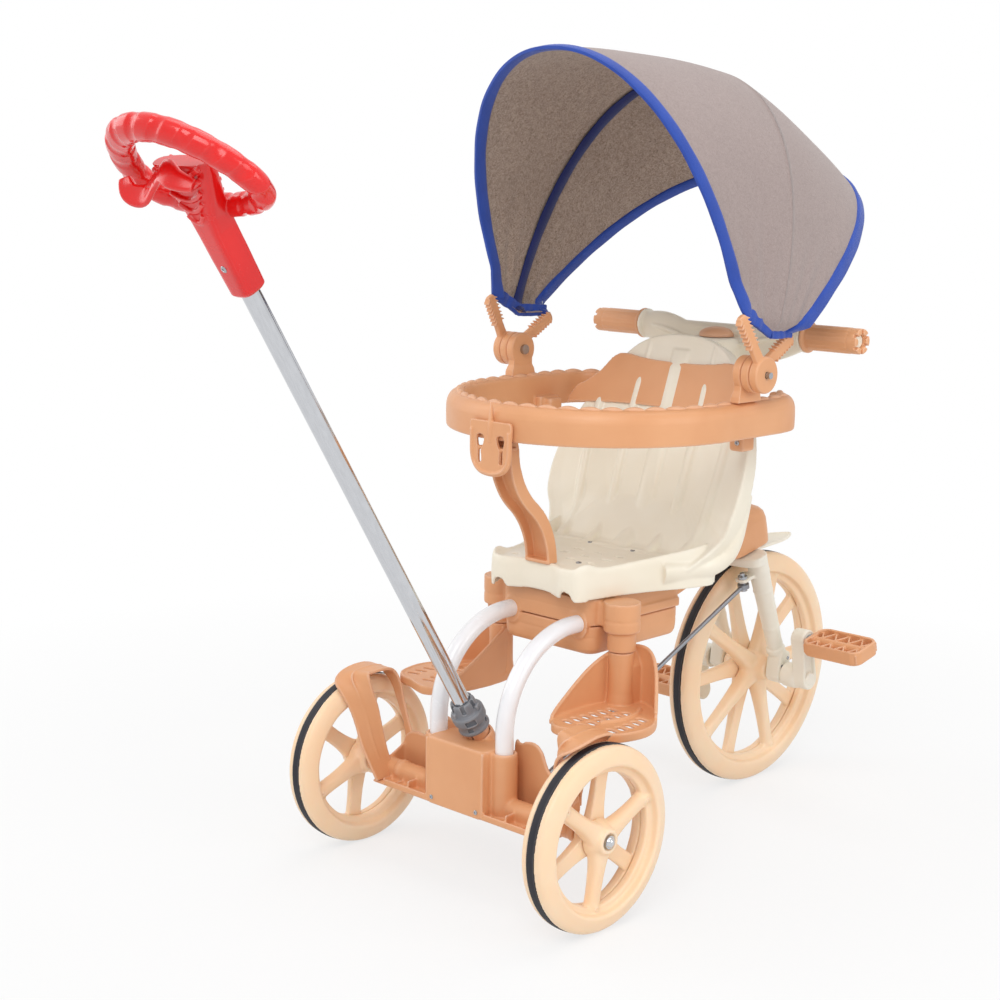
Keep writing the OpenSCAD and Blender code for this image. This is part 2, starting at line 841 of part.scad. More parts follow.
// Arm clamped on the pole's lower end, with the eye that takes the rod.
module pole_arm() {
    color(steel_c) on_pole() translate([0, 0, arm_z - 5]) difference() {
        linear_extrude(5) union() {
            circle(pole_r + 3.5);
            bar([0, 0], [arm_r, arm_back], 8);
            translate([arm_r, arm_back]) circle(eye_r + 2.5);
        }
        translate([0, 0, -1]) cylinder(h = 7, r = pole_r);
        translate([arm_r, arm_back, -1]) cylinder(h = 7, r = eye_r);
    }
}

// Grey collar that locks the pole in its cup.
collar_z0 = cup_top + 1;
collar_z1 = collar_z0 + 44;
module lock_collar() {
    color(grey_c) on_pole() difference() {
        union() {
            translate([0, 0, collar_z0]) cylinder(h = collar_z1 - collar_z0, r = pole_r + 8);
            translate([0, 0, collar_z0 + 14]) cylinder(h = 9, r = pole_r + 10.5);
            translate([0, 0, collar_z0]) cylinder(h = 5, r = pole_r + 9.5);
        }
        translate([0, 0, collar_z0 - 1]) cylinder(h = collar_z1, r = pole_r + run_gap);
        // crown notches round the top
        for (a = [0 : 60 : 120])
            rotate(a) translate([-4, -pole_r - 9, collar_z1 - 7]) cube([8, 2 * pole_r + 18, 8]);
        // window in the side
        translate([0, -pole_r - 12, collar_z0 + 6]) cube([9, 8, 6]);
    }
}

loop_lean = 39; // of the loop's plane from the level, rising to the back
loop_r = 12.8;
loop_half_h = 60;
loop_y = -411;
loop_z = 858;
sleeve_z0 = 647; // along the pole
sleeve_len = 96;

// The loop's frame: X across, Y up its plane, Z out of it.
module on_loop() {
    translate([0, loop_y, loop_z]) rotate([180 - loop_lean, 0, 0]) children();
}

module push_handle() {
    straight = loop_half_w - loop_half_h;
    color(red_c) {
        on_loop() {
            both_sides() translate([straight, 0, 0])
                rotate(-90) rotate_extrude(angle = 180) translate([loop_half_h, 0]) circle(loop_r);
            for (y = [-loop_half_h, loop_half_h]) x_rod(-straight, straight, loop_r, y, 0);
        }
        // fan-shaped neck and sleeve on the pole
        difference() {
            union() {
                on_loop() translate([0, 0, -11]) linear_extrude(22)
                    polygon([[-34, -loop_half_h - 4], [34, -loop_half_h - 4],
                        [14, -loop_half_h - 30], [-14, -loop_half_h - 30]]);
                on_pole() translate([0, 0, sleeve_z0]) cylinder(h = sleeve_len, r = pole_r + 4.5);
            }
            on_pole() translate([0, 0, sleeve_z0 - 1]) cylinder(h = pole_len - sleeve_z0 + 1, r = pole_r);
            on_handle_screw() cylinder(h = 10, r = 4.1);
        }
    }
}

// Seat of the screw in the sleeve's back.
module on_handle_screw() {
    on_pole() translate([0, 0, sleeve_z0 + 36])
        rotate([90, 0, 0]) translate([0, 0, pole_r + 3.4]) children();
}

module handle_screw() {
    color(steel_c) on_handle_screw() cylinder(h = 2.5, r = 4);
}

// Rod from the fork's ear to the eye of the pole's arm. It ends in an
// upright pin at the back and a ring at the front.
rod_r = 3;
module steering_rod() {
    front = [ear_r, steer_y + ear_back * cos(steer_lean) - (ear_z - 6) * sin(steer_lean),
        steer_z + ear_back * sin(steer_lean) + (ear_z - 6) * cos(steer_lean)];
    back_y = cup_y + arm_back * cos(pole_lean) - (arm_z - 2.5) * sin(pole_lean);
    back_z = cup_z + arm_back * sin(pole_lean) + (arm_z - 2.5) * cos(pole_lean);
    back = [arm_r, back_y, back_z - 16];
    run = (front - back) / norm(front - back);
    color(steel_c) difference() {
        union() {
            rod_between(back, front - 6.5 * run, rod_r, rod_r);
            translate(back - [0, 0, 1.2 * rod_r]) cylinder(h = 34 + 1.2 * rod_r, r = rod_r + 0.1);
            on_steer() translate([ear_r, ear_back, ear_z - 9]) cylinder(h = 6, r = 8);
        }
        on_steer() translate([ear_r, ear_back, ear_z - 12]) cylinder(h = 12, r = 3.4 + run_gap);
    }
}

// -------------------------------------------------------------- footrests

plate_top = 215;
plate_low = 205;
foot_points = [[92, 60], [114, 34], [146, 42], [166, 48], [180, 62], [187, 92],
    [173, 126], [158, 146], [134, 168], [102, 172], [90, 156]];

module foot_outline(grow) {
    grown(foot_points, grow);
}

// Slots in three columns in the tread plate.
module foot_slots() {
    for (i = [0 : 4], column = [0 : 2])
        translate([108 + column * 24 + i * 2, 66 + i * 15 + column * 6])
            rotate(12) bar([-4, 0], [4, 0], 2.2);
}

module footrest(side) {
    color(tan_c) mirror([side < 0 ? 1 : 0, 0, 0]) {
        difference() {
            union() {
                difference() {
                    translate([0, 0, plate_low]) linear_extrude(plate_top - plate_low) foot_outline(8);
                    translate([0, 0, plate_low - 1]) linear_extrude(plate_top - plate_low - wall + 1)
                        foot_outline(8 - wall);
                }
                // wall round the inner and front edges, falling away from the post
                intersection() {
                    translate([0, 0, plate_low + 2]) linear_extrude(80) difference() {
                        foot_outline(7.6);
                        foot_outline(7.6 - wall);
                    }
                    translate([60, 20, collar_low]) rotate([29, 0, 0])
                        translate([0, -60, -200]) cube([160, 260, 127]);
                    translate([98, 0, collar_low]) rotate([0, 48, 0])
                        translate([-200, 0, -260]) cube([400, 260, 260]);
                }
            }
            translate([0, 0, plate_low - 1]) linear_extrude(20) foot_slots();
        }
        translate([post_x, post_y, plate_top - 1])
            cylinder(h = collar_low - body_gap - plate_top + 1, r = post_r);
        translate([post_x, post_y, plate_top]) cylinder(h = spigot_top - plate_top, r = spigot_r);
    }
}

module footrest_left() { footrest(-1); }
module footrest_right() { footrest(1); }

// ------------------------------------------------------------------- seat

seat_wall = 3.4;
back_lean = 19.5;
back_foot_y = 296; // where the backrest's front face meets the pan
back_len = 282; // from there to the top of the backrest
back_rim = 22;
pan_points = [[-68, 112], [68, 112], [79, 176], [92, 212], [107, 244], [124, 298],
    [128, 306], [-128, 306], [-124, 298], [-107, 244], [-92, 212], [-79, 176]];

// The backrest's frame: X across, Y up its front face, Z to its back.
module on_back() {
    translate([0, back_foot_y, seat_h]) rotate([90 - back_lean, 0, 0]) mirror([0, 0, 1]) children();
}

// Outline of the backrest, grown by r: wide low down, an arch at the top.
module back_outline(r) {
    grown([[-134, -6], [134, -6], [150, 34], [150, 110], [134, 170], [92, 232], [56, 262],
        [18, 272], [-18, 272], [-56, 262], [-92, 232], [-134, 170], [-150, 110], [-150, 34]], r);
}

rib_x = [-96, -48, 0, 48, 96];
rib_len = 150; // of the backrest's ribs, which end below the ring's panel
rim_start = 14; // above the pan, where the backrest's rim begins

module seat() {
    color(cream_c) difference() {
        union() {
            // pan with its skirt
            difference() {
                translate([0, 0, seat_low]) linear_extrude(seat_h - seat_low) grown(pan_points, 9);
                translate([0, 0, seat_low - 1]) linear_extrude(seat_h - seat_low - seat_wall + 1)
                    grown(pan_points, 9 - seat_wall);
            }
            // low rim round the pan's edge
            translate([0, 0, seat_h - 1]) linear_extrude(4) difference() {
                grown(pan_points, 8.5);
                grown(pan_points, 4);
                translate([-160, 251]) square([320, 80]);
            }
            // backrest with a rim turned back
            on_back() difference() {
                union() {
                    linear_extrude(seat_wall + 0.5) back_outline(9);
                    intersection() {
                        translate([0, 0, 1]) linear_extrude(back_rim - 1) back_outline(8.7);
                        translate([-200, rim_start, 0]) cube([400, 400, back_rim]);
                    }
                }
                translate([0, 0, seat_wall]) linear_extrude(back_rim) back_outline(9 - seat_wall);
            }
            // ribs on the backrest and the pan
            for (x = rib_x) {
                on_back() translate([x, 14, 1]) rotate([-90, 0, 0]) cylinder(h = rib_len, r = 3.6);
                translate([x, 190, seat_h - 1]) rotate([-90, 0, 0]) cylinder(h = 104, r = 3.4);
            }
        }
        // small holes in the pan
        for (x = [-40, 0, 40], y = [160, 190, 220])
            translate([x + 12, y, seat_h - 20]) cylinder(h = 40, r = 2.6);
        seat_bolt_places() cylinder(h = 100, r = 3.1, center = true);
        // arched notches in the front of the skirt
        both_sides() translate([tube_x, 90, seat_low]) rotate([-90, 0, 0]) cylinder(h = 20, r = 11);
    }
}

module seat_bolt_places() {
    for (x = [-36, 36], y = [house_back + 20, house_front - 50]) translate([x, y, seat_h]) children();
}

module seat_bolts() {
    color(steel_c) seat_bolt_places() {
        cylinder(h = 3, r = 6);
        translate([0, 0, house_top - seat_h + wall]) cylinder(h = seat_h - house_top - wall, r = 3);
    }
}

// ------------------------------------------------------------ safety ring

ring_z = seat_h + ring_over_seat;
ring_h = 48;
ring_w = 23;
ring_top_r = ring_w / 2;
ring_y = 228; // middle of the round end
ring_side_end = 335; // where the straight sides end
ring_back = 405;
ring_corner = 60;
back_gap = 146; // half width of the opening behind the backrest
panel_z = -wall - body_gap; // front panel's face from the backrest

panel_w = ring_r - ring_w - 5;

// Outline of the ring in plan, moved in by inset.
module ring_outline(inset) {
    r = ring_r - inset;
    corner = ring_corner - inset / 2;
    translate([0, ring_y]) circle(r, $fn = 128);
    translate([-r, ring_y]) square([2 * r, ring_side_end - ring_y]);
    translate([-r + corner, ring_side_end - 1])
        square([2 * (r - corner), ring_back - inset - ring_side_end + 1]);
    both_sides() translate([r - corner, ring_back - inset - corner]) circle(corner);
    both_sides() translate([r - corner, ring_side_end - 1])
        square([corner, ring_back - inset - corner - ring_side_end + 1]);
}

module ring_band_2d(outer, inner) {
    difference() {
        ring_outline(outer);
        ring_outline(inner);
    }
}

module safety_ring() {
    soft = 5;
    color(tan_c) {
        difference() {
            union() {
                translate([0, 0, ring_z]) linear_extrude(ring_h - soft) ring_band_2d(0, ring_w);
                translate([0, 0, ring_z + 10]) linear_extrude(ring_h - 10 - soft / 2) ring_band_2d(1.5, ring_w - 1.5);
                translate([0, 0, ring_z + 10]) linear_extrude(ring_h - 10) ring_band_2d(soft, ring_w - soft);
            }
            // channel, open underneath
            translate([0, 0, ring_z - 1]) linear_extrude(ring_h - wall - 4) ring_band_2d(wall, ring_w - wall);
            // the back is open between the two corners
            block([-back_gap, ring_side_end - 35, ring_z - 2], [back_gap, ring_back + 30, ring_z + ring_h + 2]);
        }
        // panel in front of the backrest
        difference() {
            on_back() translate([0, 0, panel_z]) linear_extrude(wall)
                union() {
                    polygon([[-152, 172], [152, 172], [138, 205], [90, 246], [-90, 246], [-138, 205]]);
                    // wings that join the panel to the ring's sides
                    translate([-panel_w, 172]) square([2 * panel_w, 28]);
                }
            block([-200, 200, ring_z - 40], [200, 420, ring_z + 6]);
        }
    }
}

latch_y = ring_y - ring_r;
module ring_latch() {
    color(tan_c) difference() {
        union() {
            translate([0, latch_y - body_gap / 2, 0]) rotate([90, 0, 0]) linear_extrude(4)
                grown([[-22, ring_z - 33], [22, ring_z - 33], [22, ring_z + 15], [-22, ring_z + 15]], 11);
            // pointed rib
            along_x(-2, 2)
                polygon([[latch_y - 3, ring_z + 11], [latch_y - 8, ring_z + 15], [latch_y - 3, ring_z + 45]]);
            // shelf that hooks under the ring
            block([-22, latch_y - 2, ring_z - 13], [22, latch_y + 20, ring_z - 9]);
        }
        for (x = [-13, 13]) {
            translate([x, latch_y + 2, ring_z - 1]) rotate([90, 0, 0]) cylinder(h = 12, r = 5);
            block([x - 2, latch_y - 8, ring_z - 21], [x + 2, latch_y + 1, ring_z - 1]);
        }
    }
}

// Channel-shaped post between the ring and the pan, curved like an S.
post_bend = 95;
post_angle = 49.6;
post_w = 38;
post_depth = 16;
post_top_y = 51;
post_top_z = ring_z - 15;
post_low_y = post_top_y + 2 * post_bend * (1 - cos(post_angle));
post_low_z = post_top_z - 2 * post_bend * sin(post_angle);

// Section of the channel, its web on the side that web names: 1 outside the
// bend, -1 inside it.
module post_section(web) {
    translate([post_bend, 0]) mirror([web < 0 ? 1 : 0, 0]) difference() {
        square([post_depth, post_w], center = true);
        translate([-post_depth / 2 - wall, -post_w / 2 + wall]) square([post_depth, post_w - 2 * wall]);
    }
}

module crotch_post() {
    color(tan_c) {
        arc_in_side_view(post_top_y + post_bend, post_top_z, 180, post_angle) post_section(-1);
        arc_in_side_view(post_low_y - post_bend, post_low_z, 0, post_angle) post_section(1);
        // foot on the pan and tongue behind the latch
        block([-post_w / 2, post_low_y - post_depth / 2, seat_h + body_gap],
            [post_w / 2, post_low_y + post_depth / 2, post_low_z + eps]);
        block([-16, post_top_y - 4, post_top_z - eps], [16, post_top_y + post_depth / 2, ring_z - 5]);
    }
}

// ----------------------------------------------------------------- canopy
// Every canopy piece is drawn in the hub's frame: X across, Z straight up
// from the hub's axis, and the piece is then leaned about that axis.

hub_y = 272;
hub_z = ring_z + 77;
hub_r = 22;
disc_x0 = 181; // inner face of the fixed disc
disc_w = 12;
pin_r = 4;
eye_x = disc_x0 + 3 * (disc_w + body_gap); // the middle bow's eye
arm_len = 82; // from the hub to an arm's tip
arm_w = 14;
bow_r = 3;

middle_bow_lean = -18;
rear_bow_lean = -54;
front_arm_lean = 30;
rear_arm_lean = -59.6;

cloth_t = 2;

module on_hub(lean) {
    translate([0, hub_y, hub_z]) rotate([lean, 0, 0]) children();
}

module canopy_base(side) {
    color(tan_c) mirror([side < 0 ? 1 : 0, 0, 0]) difference() {
        union() {
            x_rod(disc_x0, disc_x0 + disc_w, hub_r, hub_y, hub_z);
            block([disc_x0, hub_y - 18, ring_z + ring_h + eps], [disc_x0 + disc_w, hub_y + 18, hub_z]);
            block([disc_x0 - 5, hub_y - 24, ring_z + ring_h], [disc_x0 + disc_w, hub_y + 24, ring_z + ring_h + 5]);
        }
        x_rod(disc_x0 - 1, disc_x0 + disc_w + 1, pin_r, hub_y, hub_z);
    }
}

module canopy_base_left() { canopy_base(-1); }
module canopy_base_right() { canopy_base(1); }

module canopy_pins() {
    color(steel_c) both_sides() {
        x_rod(disc_x0 - 3, eye_x + eye_w, pin_r, hub_y, hub_z);
        x_rod(disc_x0 - 4, disc_x0, 6.5, hub_y, hub_z);
    }
}

// A pair of arms, in the disc layer counted outwards from the fixed disc.
module arm_pair(layer) {
    x0 = disc_x0 + layer * (disc_w + body_gap);
    both_sides() difference() {
        union() {
            x_rod(x0, x0 + disc_w, hub_r);
            block([x0 + 2, -arm_w / 2, 0], [x0 + disc_w - 2, arm_w / 2, arm_len]);
            // barbs that hold the cloth
            for (z = [arm_len - 40 : 7 : arm_len - 6])
                block([x0 + 1, -arm_w / 2 - 2.5, z], [x0 + disc_w - 1, arm_w / 2 + 2.5, z + 3]);
        }
        x_rod(x0 - 1, x0 + disc_w + 1, pin_r + run_gap);
    }
}

module canopy_arms_rear() { color(tan_c) on_hub(rear_arm_lean) arm_pair(1); }
module canopy_arms_front() { color(tan_c) on_hub(front_arm_lean) arm_pair(2); }

// An arch rises from the springing in two long side arcs that meet a round
// top. Each one is given by its half width, its height above the hub and the
// radius of its top. They lie one outside the other where they pass when the
// canopy folds: front bow, front cloth, rear cloth.
front_bow = [canopy_half_w - 17, canopy_h - 5, canopy_half_w - 72];
front_cloth = [canopy_half_w - 10, canopy_h, canopy_half_w - 66];
middle_bow = [canopy_half_w - 8, canopy_h - 8, canopy_half_w - 62];
rear_cloth = [canopy_half_w, canopy_h + 6, canopy_half_w - 32];
rear_bow = [canopy_half_w, canopy_h - 2, canopy_half_w - 32];
arch_spring = 110; // where the side arcs begin, from the hub's axis
bow_grip = 66; // where the wire goes into its arm, from the hub
cloth_low = 92; // lower edge of the cloth, from the hub's axis
foot_in = 3; // how far the cloth's sides run in towards the hub

// How far past the middle the centre of a side arc lies, how high the centre
// of the top lies above the springing, and the angle of a side arc.
function arch_off(a) = (a[1] - arch_spring - a[0]) * (a[1] - arch_spring + a[0] - 2 * a[2])
    / (2 * (a[0] - a[2]));
function arch_rise(a) = a[1] - arch_spring - a[2];
function arch_turn(a) = atan2(arch_rise(a), arch_off(a));

// The same arch moved outwards by step.
function moved_out(a, step) = [a[0] + step, a[1] + step, a[2] + step];

module arch(a) {
    off = arch_off(a);
    turn = arch_turn(a);
    translate([0, 0, arch_spring + arch_rise(a)]) rotate([90, 0, 0]) rotate(turn)
        rotate_extrude(angle = 180 - 2 * turn) translate([a[2], 0]) circle(bow_r, $fn = 24);
    both_sides() {
        translate([-off, 0, arch_spring]) rotate([90, 0, 0]) rotate_extrude(angle = turn)
            translate([a[0] + off, 0]) circle(bow_r, $fn = 24);
        translate([(a[0] + off) * cos(turn) - off, 0, arch_spring + (a[0] + off) * sin(turn)])
            sphere(bow_r + 0.3);
        translate([a[0], 0, arch_spring]) sphere(bow_r + 0.3);
    }
}

// Bow whose wire goes into the arms of one layer, set_in from their middle.
// lag is the angle from the bow's plane to the arms'.
module armed_bow(a, arm_layer, lag, set_in) {
    grip_x = disc_x0 + arm_layer * (disc_w + body_gap) + disc_w / 2 - set_in;
    grip = [grip_x, -bow_grip * sin(lag), bow_grip * cos(lag)];
    color(steel_c) {
        arch(a);
        both_sides() rod_between(grip, [a[0], 0, arch_spring], bow_r, bow_r);
    }
}

module bow_front() {
    on_hub(front_bow_lean) armed_bow(front_bow, 2, front_arm_lean - front_bow_lean, 2.5);
}

module bow_rear() {
    on_hub(rear_bow_lean) armed_bow(rear_bow, 1, rear_arm_lean - rear_bow_lean, 0);
}

// The middle bow is held by an eye of its own on each pin. Its leg stands
// upright beside the arms and then leans in to the arch.
eye_w = 5;
leg_knee = 37;
module bow_middle() {
    leg = eye_x + bow_r + 0.2;
    color(steel_c) on_hub(middle_bow_lean) {
        arch(middle_bow);
        both_sides() {
            translate([leg, 0, 7]) cylinder(h = leg_knee - 7, r = bow_r);
            translate([leg, 0, leg_knee]) sphere(bow_r + 0.3);
            rod_between([leg, 0, leg_knee], [middle_bow[0], 0, arch_spring], bow_r, bow_r);
            difference() {
                x_rod(eye_x, eye_x + eye_w, 10);
                x_rod(eye_x - 1, eye_x + eye_w + 1, pin_r + run_gap);
            }
        }
    }
}

// Outline under an arch in the plane of its height (X) and width (Y).
module arch_2d(a) {
    off = arch_off(a);
    side_r = a[0] + off;
    foot = a[0] - foot_in;
    translate([arch_spring + arch_rise(a), 0]) circle(a[2] + 0.05, $fn = 96);
    intersection() {
        translate([arch_spring, -off]) circle(side_r, $fn = 160);
        translate([arch_spring, off]) circle(side_r, $fn = 160);
        translate([arch_spring, -a[0] - 1]) square([side_r * sin(arch_turn(a)), 2 * a[0] + 2]);
    }
    polygon([[0, -foot], [arch_spring, -a[0]], [arch_spring + 20, 12 - a[0]],
        [arch_spring + 20, a[0] - 12], [arch_spring, a[0]], [0, foot]]);
}

module cover(a, from, to) {
    color(cloth_c) arc_in_side_view(hub_y, hub_z, 90 + from, to - from) intersection() {
        difference() {
            arch_2d(moved_out(a, cloth_t / 2));
            arch_2d(moved_out(a, -cloth_t / 2));
        }
        translate([cloth_low, -2 * a[0]]) square(4 * a[0]);
    }
}

edge_gap = 2.2; // degrees between a bow's middle and the cloth's edge
module cover_front() {
    cover(front_cloth, middle_bow_lean + edge_gap, front_bow_lean - edge_gap);
}

module cover_rear() {
    cover(rear_cloth, rear_bow_lean + edge_gap, middle_bow_lean - edge_gap);
}

// ------------------------------------------------------------------ nodes

place() rear_base();
place() fender_left();
place() fender_right();
place() rear_axle();
place() axle_caps();
place() pole_cup();
place() frame_tube_left();
place() frame_tube_right();
place() housing_upper();
place() housing_lower();
place() housing_screws();
place() head_frame();
place() seat();
place() seat_bolts();
place() safety_ring();
place() ring_latch();
place() crotch_post();
place() canopy_base_left();
place() canopy_base_right();
place() canopy_pins();
place() fork();
place() steering_stem();
place() handlebar();
place() grip_left();
place() grip_right();
place() handlebar_knob();
place() mudguard();
place() ear_bolt();
place() front_wheel_left();
place() front_wheel_right();
place() front_wheel_band();
place() front_wheel_screws();
place() front_axle();
place() crank_left();
place() crank_right();
place() pedal_spindles();
place() pedal_left();
place() pedal_right();
place() rear_wheel_outer_left();
place() rear_wheel_inner_left();
place() rear_wheel_band_left();
place() rear_wheel_outer_right();
place() rear_wheel_inner_right();
place() rear_wheel_band_right();
place() push_pole();
place() push_handle();
place() handle_screw();
place() pole_arm();
place() lock_collar();
place() steering_rod();
place() footrest_left();
place() footrest_right();
place() canopy_arms_rear();
place() bow_rear();
place() cover_rear();
place() bow_middle();
place() canopy_arms_front();
place() bow_front();
place() cover_front();
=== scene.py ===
import json
import math

import bmesh
import bpy
import numpy as np
from mathutils import Matrix, Vector

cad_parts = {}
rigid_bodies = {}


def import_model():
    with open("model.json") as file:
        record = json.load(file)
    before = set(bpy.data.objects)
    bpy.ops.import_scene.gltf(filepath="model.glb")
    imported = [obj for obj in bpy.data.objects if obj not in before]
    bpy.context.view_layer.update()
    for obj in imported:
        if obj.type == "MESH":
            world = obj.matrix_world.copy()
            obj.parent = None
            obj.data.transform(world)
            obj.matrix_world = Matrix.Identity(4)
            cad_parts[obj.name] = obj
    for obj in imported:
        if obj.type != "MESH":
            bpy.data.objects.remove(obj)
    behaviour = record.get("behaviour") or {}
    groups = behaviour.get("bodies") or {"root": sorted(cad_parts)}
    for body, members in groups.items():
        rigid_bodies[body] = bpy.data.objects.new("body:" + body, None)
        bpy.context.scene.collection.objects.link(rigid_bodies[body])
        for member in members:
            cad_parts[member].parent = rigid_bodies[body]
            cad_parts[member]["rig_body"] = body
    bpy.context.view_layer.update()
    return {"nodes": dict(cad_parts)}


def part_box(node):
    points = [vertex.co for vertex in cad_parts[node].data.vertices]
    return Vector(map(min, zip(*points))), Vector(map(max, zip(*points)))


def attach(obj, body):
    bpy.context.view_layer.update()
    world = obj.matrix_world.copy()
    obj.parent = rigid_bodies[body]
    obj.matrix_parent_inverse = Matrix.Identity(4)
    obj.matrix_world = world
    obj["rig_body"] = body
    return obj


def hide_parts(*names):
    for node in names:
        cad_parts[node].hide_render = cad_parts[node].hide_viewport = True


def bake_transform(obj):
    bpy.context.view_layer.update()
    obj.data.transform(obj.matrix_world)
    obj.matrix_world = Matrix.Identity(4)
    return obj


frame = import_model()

bl_info = {"name": "Push tricycle finish", "version": (1, 0, 0), "blender": (4, 5, 0),
    "location": "View3D > Sidebar > Tricycle",
    "description": "Moulded pieces, canopy, finishes and studio for a push tricycle", "category": "Object",}

# The working frame is in millimetres, on the ground under the rear axle.
AXLE = sum(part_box("rear_axle"), Vector()) / 2
HUB_Y, HUB_Z = 272.0, 618.0  # canopy pivot
STEER_Y, STEER_Z, STEER_LEAN = 497.0, 300.0, 12.0
CUP_Y, CUP_Z, POLE_LEAN = 13.9, 180.0, 31.7
FRONT_Y, FRONT_Z = 556.0, 165.0
REAR_Z = 110.0


def rad(degrees):
    return degrees * math.pi / 180.0


# ---------------------------------------------------------------- shapes
# A shape is (points, faces), in millimetres.


def joined(*shapes):
    points, faces, base = [], [], 0
    for p, f in shapes:
        p = np.asarray(p, float)
        points.append(p)
        faces.extend([tuple(i + base for i in face) for face in f])
        base += len(p)
    return np.vstack(points), faces


def moved(shape, by=(0, 0, 0), turn=None):
    p = np.asarray(shape[0], float)
    if turn is not None:
        p = p @ np.asarray(turn, float).T
    return p + np.asarray(by, float), shape[1]


def mirrored(shape):
    return np.asarray(shape[0]) * (-1, 1, 1), [tuple(reversed(f)) for f in shape[1]]


def both(shape):
    return joined(shape, mirrored(shape))


def turn_x(degrees):
    c, s = math.cos(rad(degrees)), math.sin(rad(degrees))
    return np.array([[1, 0, 0], [0, c, -s], [0, s, c]])


def turn_z(degrees):
    c, s = math.cos(rad(degrees)), math.sin(rad(degrees))
    return np.array([[c, -s, 0], [s, c, 0], [0, 0, 1]])


def loft(rings, closed=True, caps=True, loop=False):
    """Rings of equal length, one after another. loop joins the last ring to the first."""
    m, n = len(rings), len(rings[0])
    points = np.vstack([np.asarray(r, float) for r in rings])
    faces = []
    for i in range(m if loop else m - 1):
        a, b = i * n, ((i + 1) % m) * n
        for j in range(n if closed else n - 1):
            k = (j + 1) % n
            faces.append((a + j, a + k, b + k, b + j))
    if caps and closed and not loop:
        faces.append(tuple(range(n - 1, -1, -1)))
        faces.append(tuple(range((m - 1) * n, m * n)))
    return points, faces


def smooth_line(points, count, closed=False):
    """Catmull-Rom line through the points, spaced evenly."""
    p = np.asarray(points, float)
    n = len(p)
    dense = []
    spans = n if closed else n - 1
    for i in range(spans):
        if closed:
            a, b, c, d = p[(i - 1) % n], p[i], p[(i + 1) % n], p[(i + 2) % n]
        else:
            a, b, c, d = p[max(i - 1, 0)], p[i], p[i + 1], p[min(i + 2, n - 1)]
        for t in np.linspace(0, 1, 24, endpoint=False):
            dense.append(0.5 * (2 * b + (c - a) * t + (2 * a - 5 * b + 4 * c - d) * t ** 2 +
                (3 * b - a - 3 * c + d) * t ** 3))
    dense.append(p[0] if closed else p[-1])
    return even_line(np.array(dense), count, closed)


def even_line(line, count, closed=False):
    line = np.asarray(line, float)
    far = np.concatenate([[0], np.cumsum(np.linalg.norm(np.diff(line, axis=0), axis=1))])
    at = np.linspace(0, far[-1], count, endpoint=not closed)
    return np.column_stack([np.interp(at, far, line[:, k]) for k in range(line.shape[1])])


def frames_along(line, up, closed=False):
    """Tangent, side and up vectors at each point, up staying near the one asked."""
    line = np.asarray(line, float)
    if closed:
        tangent = np.roll(line, -1, 0) - np.roll(line, 1, 0)
    else:
        tangent = np.gradient(line, axis=0)
    tangent /= np.linalg.norm(tangent, axis=1)[:, None]
    ups = np.broadcast_to(np.asarray(up, float), line.shape)
    side = np.cross(tangent, ups)
    side /= np.linalg.norm(side, axis=1)[:, None]
    return tangent, side, np.cross(side, tangent)


def sweep(line, section, up=(0, 0, 1), closed=False, caps=True):
    """section is points (side, up), or a function of (share along, index)."""
    line = np.asarray(line, float)
    _, side, top = frames_along(line, up, closed)
    rings = []
    for i, at in enumerate(line):
        s = np.asarray(section(i / max(len(line) - 1, 1), i) if callable(section) else section)
        rings.append(at + s[:, :1] * side[i] + s[:, 1:2] * top[i])
    return loft(rings, loop=closed, caps=caps)


def disc_section(r, n=20, flat=1.0):
    a = np.linspace(0, 2 * math.pi, n, endpoint=False)
    return np.column_stack([r * np.cos(a), r * flat * np.sin(a)])


def pill_section(w, h, power=4.0, n=24):
    """Rounded oblong w across and h high."""
    a = np.linspace(0, 2 * math.pi, n, endpoint=False)
    c, s = np.cos(a), np.sin(a)
    k = (np.abs(c) ** power + np.abs(s) ** power) ** (-1 / power)
    return np.column_stack([w / 2 * c * k, h / 2 * s * k])


def tube(points, r, n=20, count=0, closed=False, up=(0, 0, 1), flat=1.0):
    line = smooth_line(points, count, closed) if count else np.asarray(points, float)
    return sweep(line, disc_section(r, n, flat), up, closed)


def rod(a, b, r0, r1=None, n=28):
    a, b = np.asarray(a, float), np.asarray(b, float)
    way = (b - a) / np.linalg.norm(b - a)
    up = (0, 0, 1) if abs(way[2]) < 0.9 else (0, 1, 0)
    radii = (r0, r0 if r1 is None else r1)
    return sweep(np.array([a, b]), lambda t, i: disc_section(radii[i], n), up)


def turned(profile, n=64):
    """(radius, height) points turned into a solid. A profile that starts and ends on the
    axis makes poles; any other is a closed outline."""
    profile = [tuple(map(float, p)) for p in profile]
    a = np.linspace(0, 2 * math.pi, n, endpoint=False)
    poles = profile[0][0] == 0 and profile[-1][0] == 0
    inner = profile[1:-1] if poles else profile
    rings = [np.column_stack([r * np.cos(a), r * np.sin(a), np.full(n, h)]) for r, h in inner]
    points, faces = loft(rings, loop=not poles, caps=False)
    if poles:
        low, high = len(points), len(points) + 1
        points = np.vstack([points, (0, 0, profile[0][1]), (0, 0, profile[-1][1])])
        last = (len(inner) - 1) * n
        for j in range(n):
            faces.append((low, (j + 1) % n, j))
            faces.append((high, last + j, last + (j + 1) % n))
    return points, faces


def slab(outline, low, high):
    """A flat outline raised from low to high."""
    o = np.asarray(outline, float)
    rings = [np.column_stack([o, np.full(len(o), z)]) for z in (low, high)]
    return loft(rings)


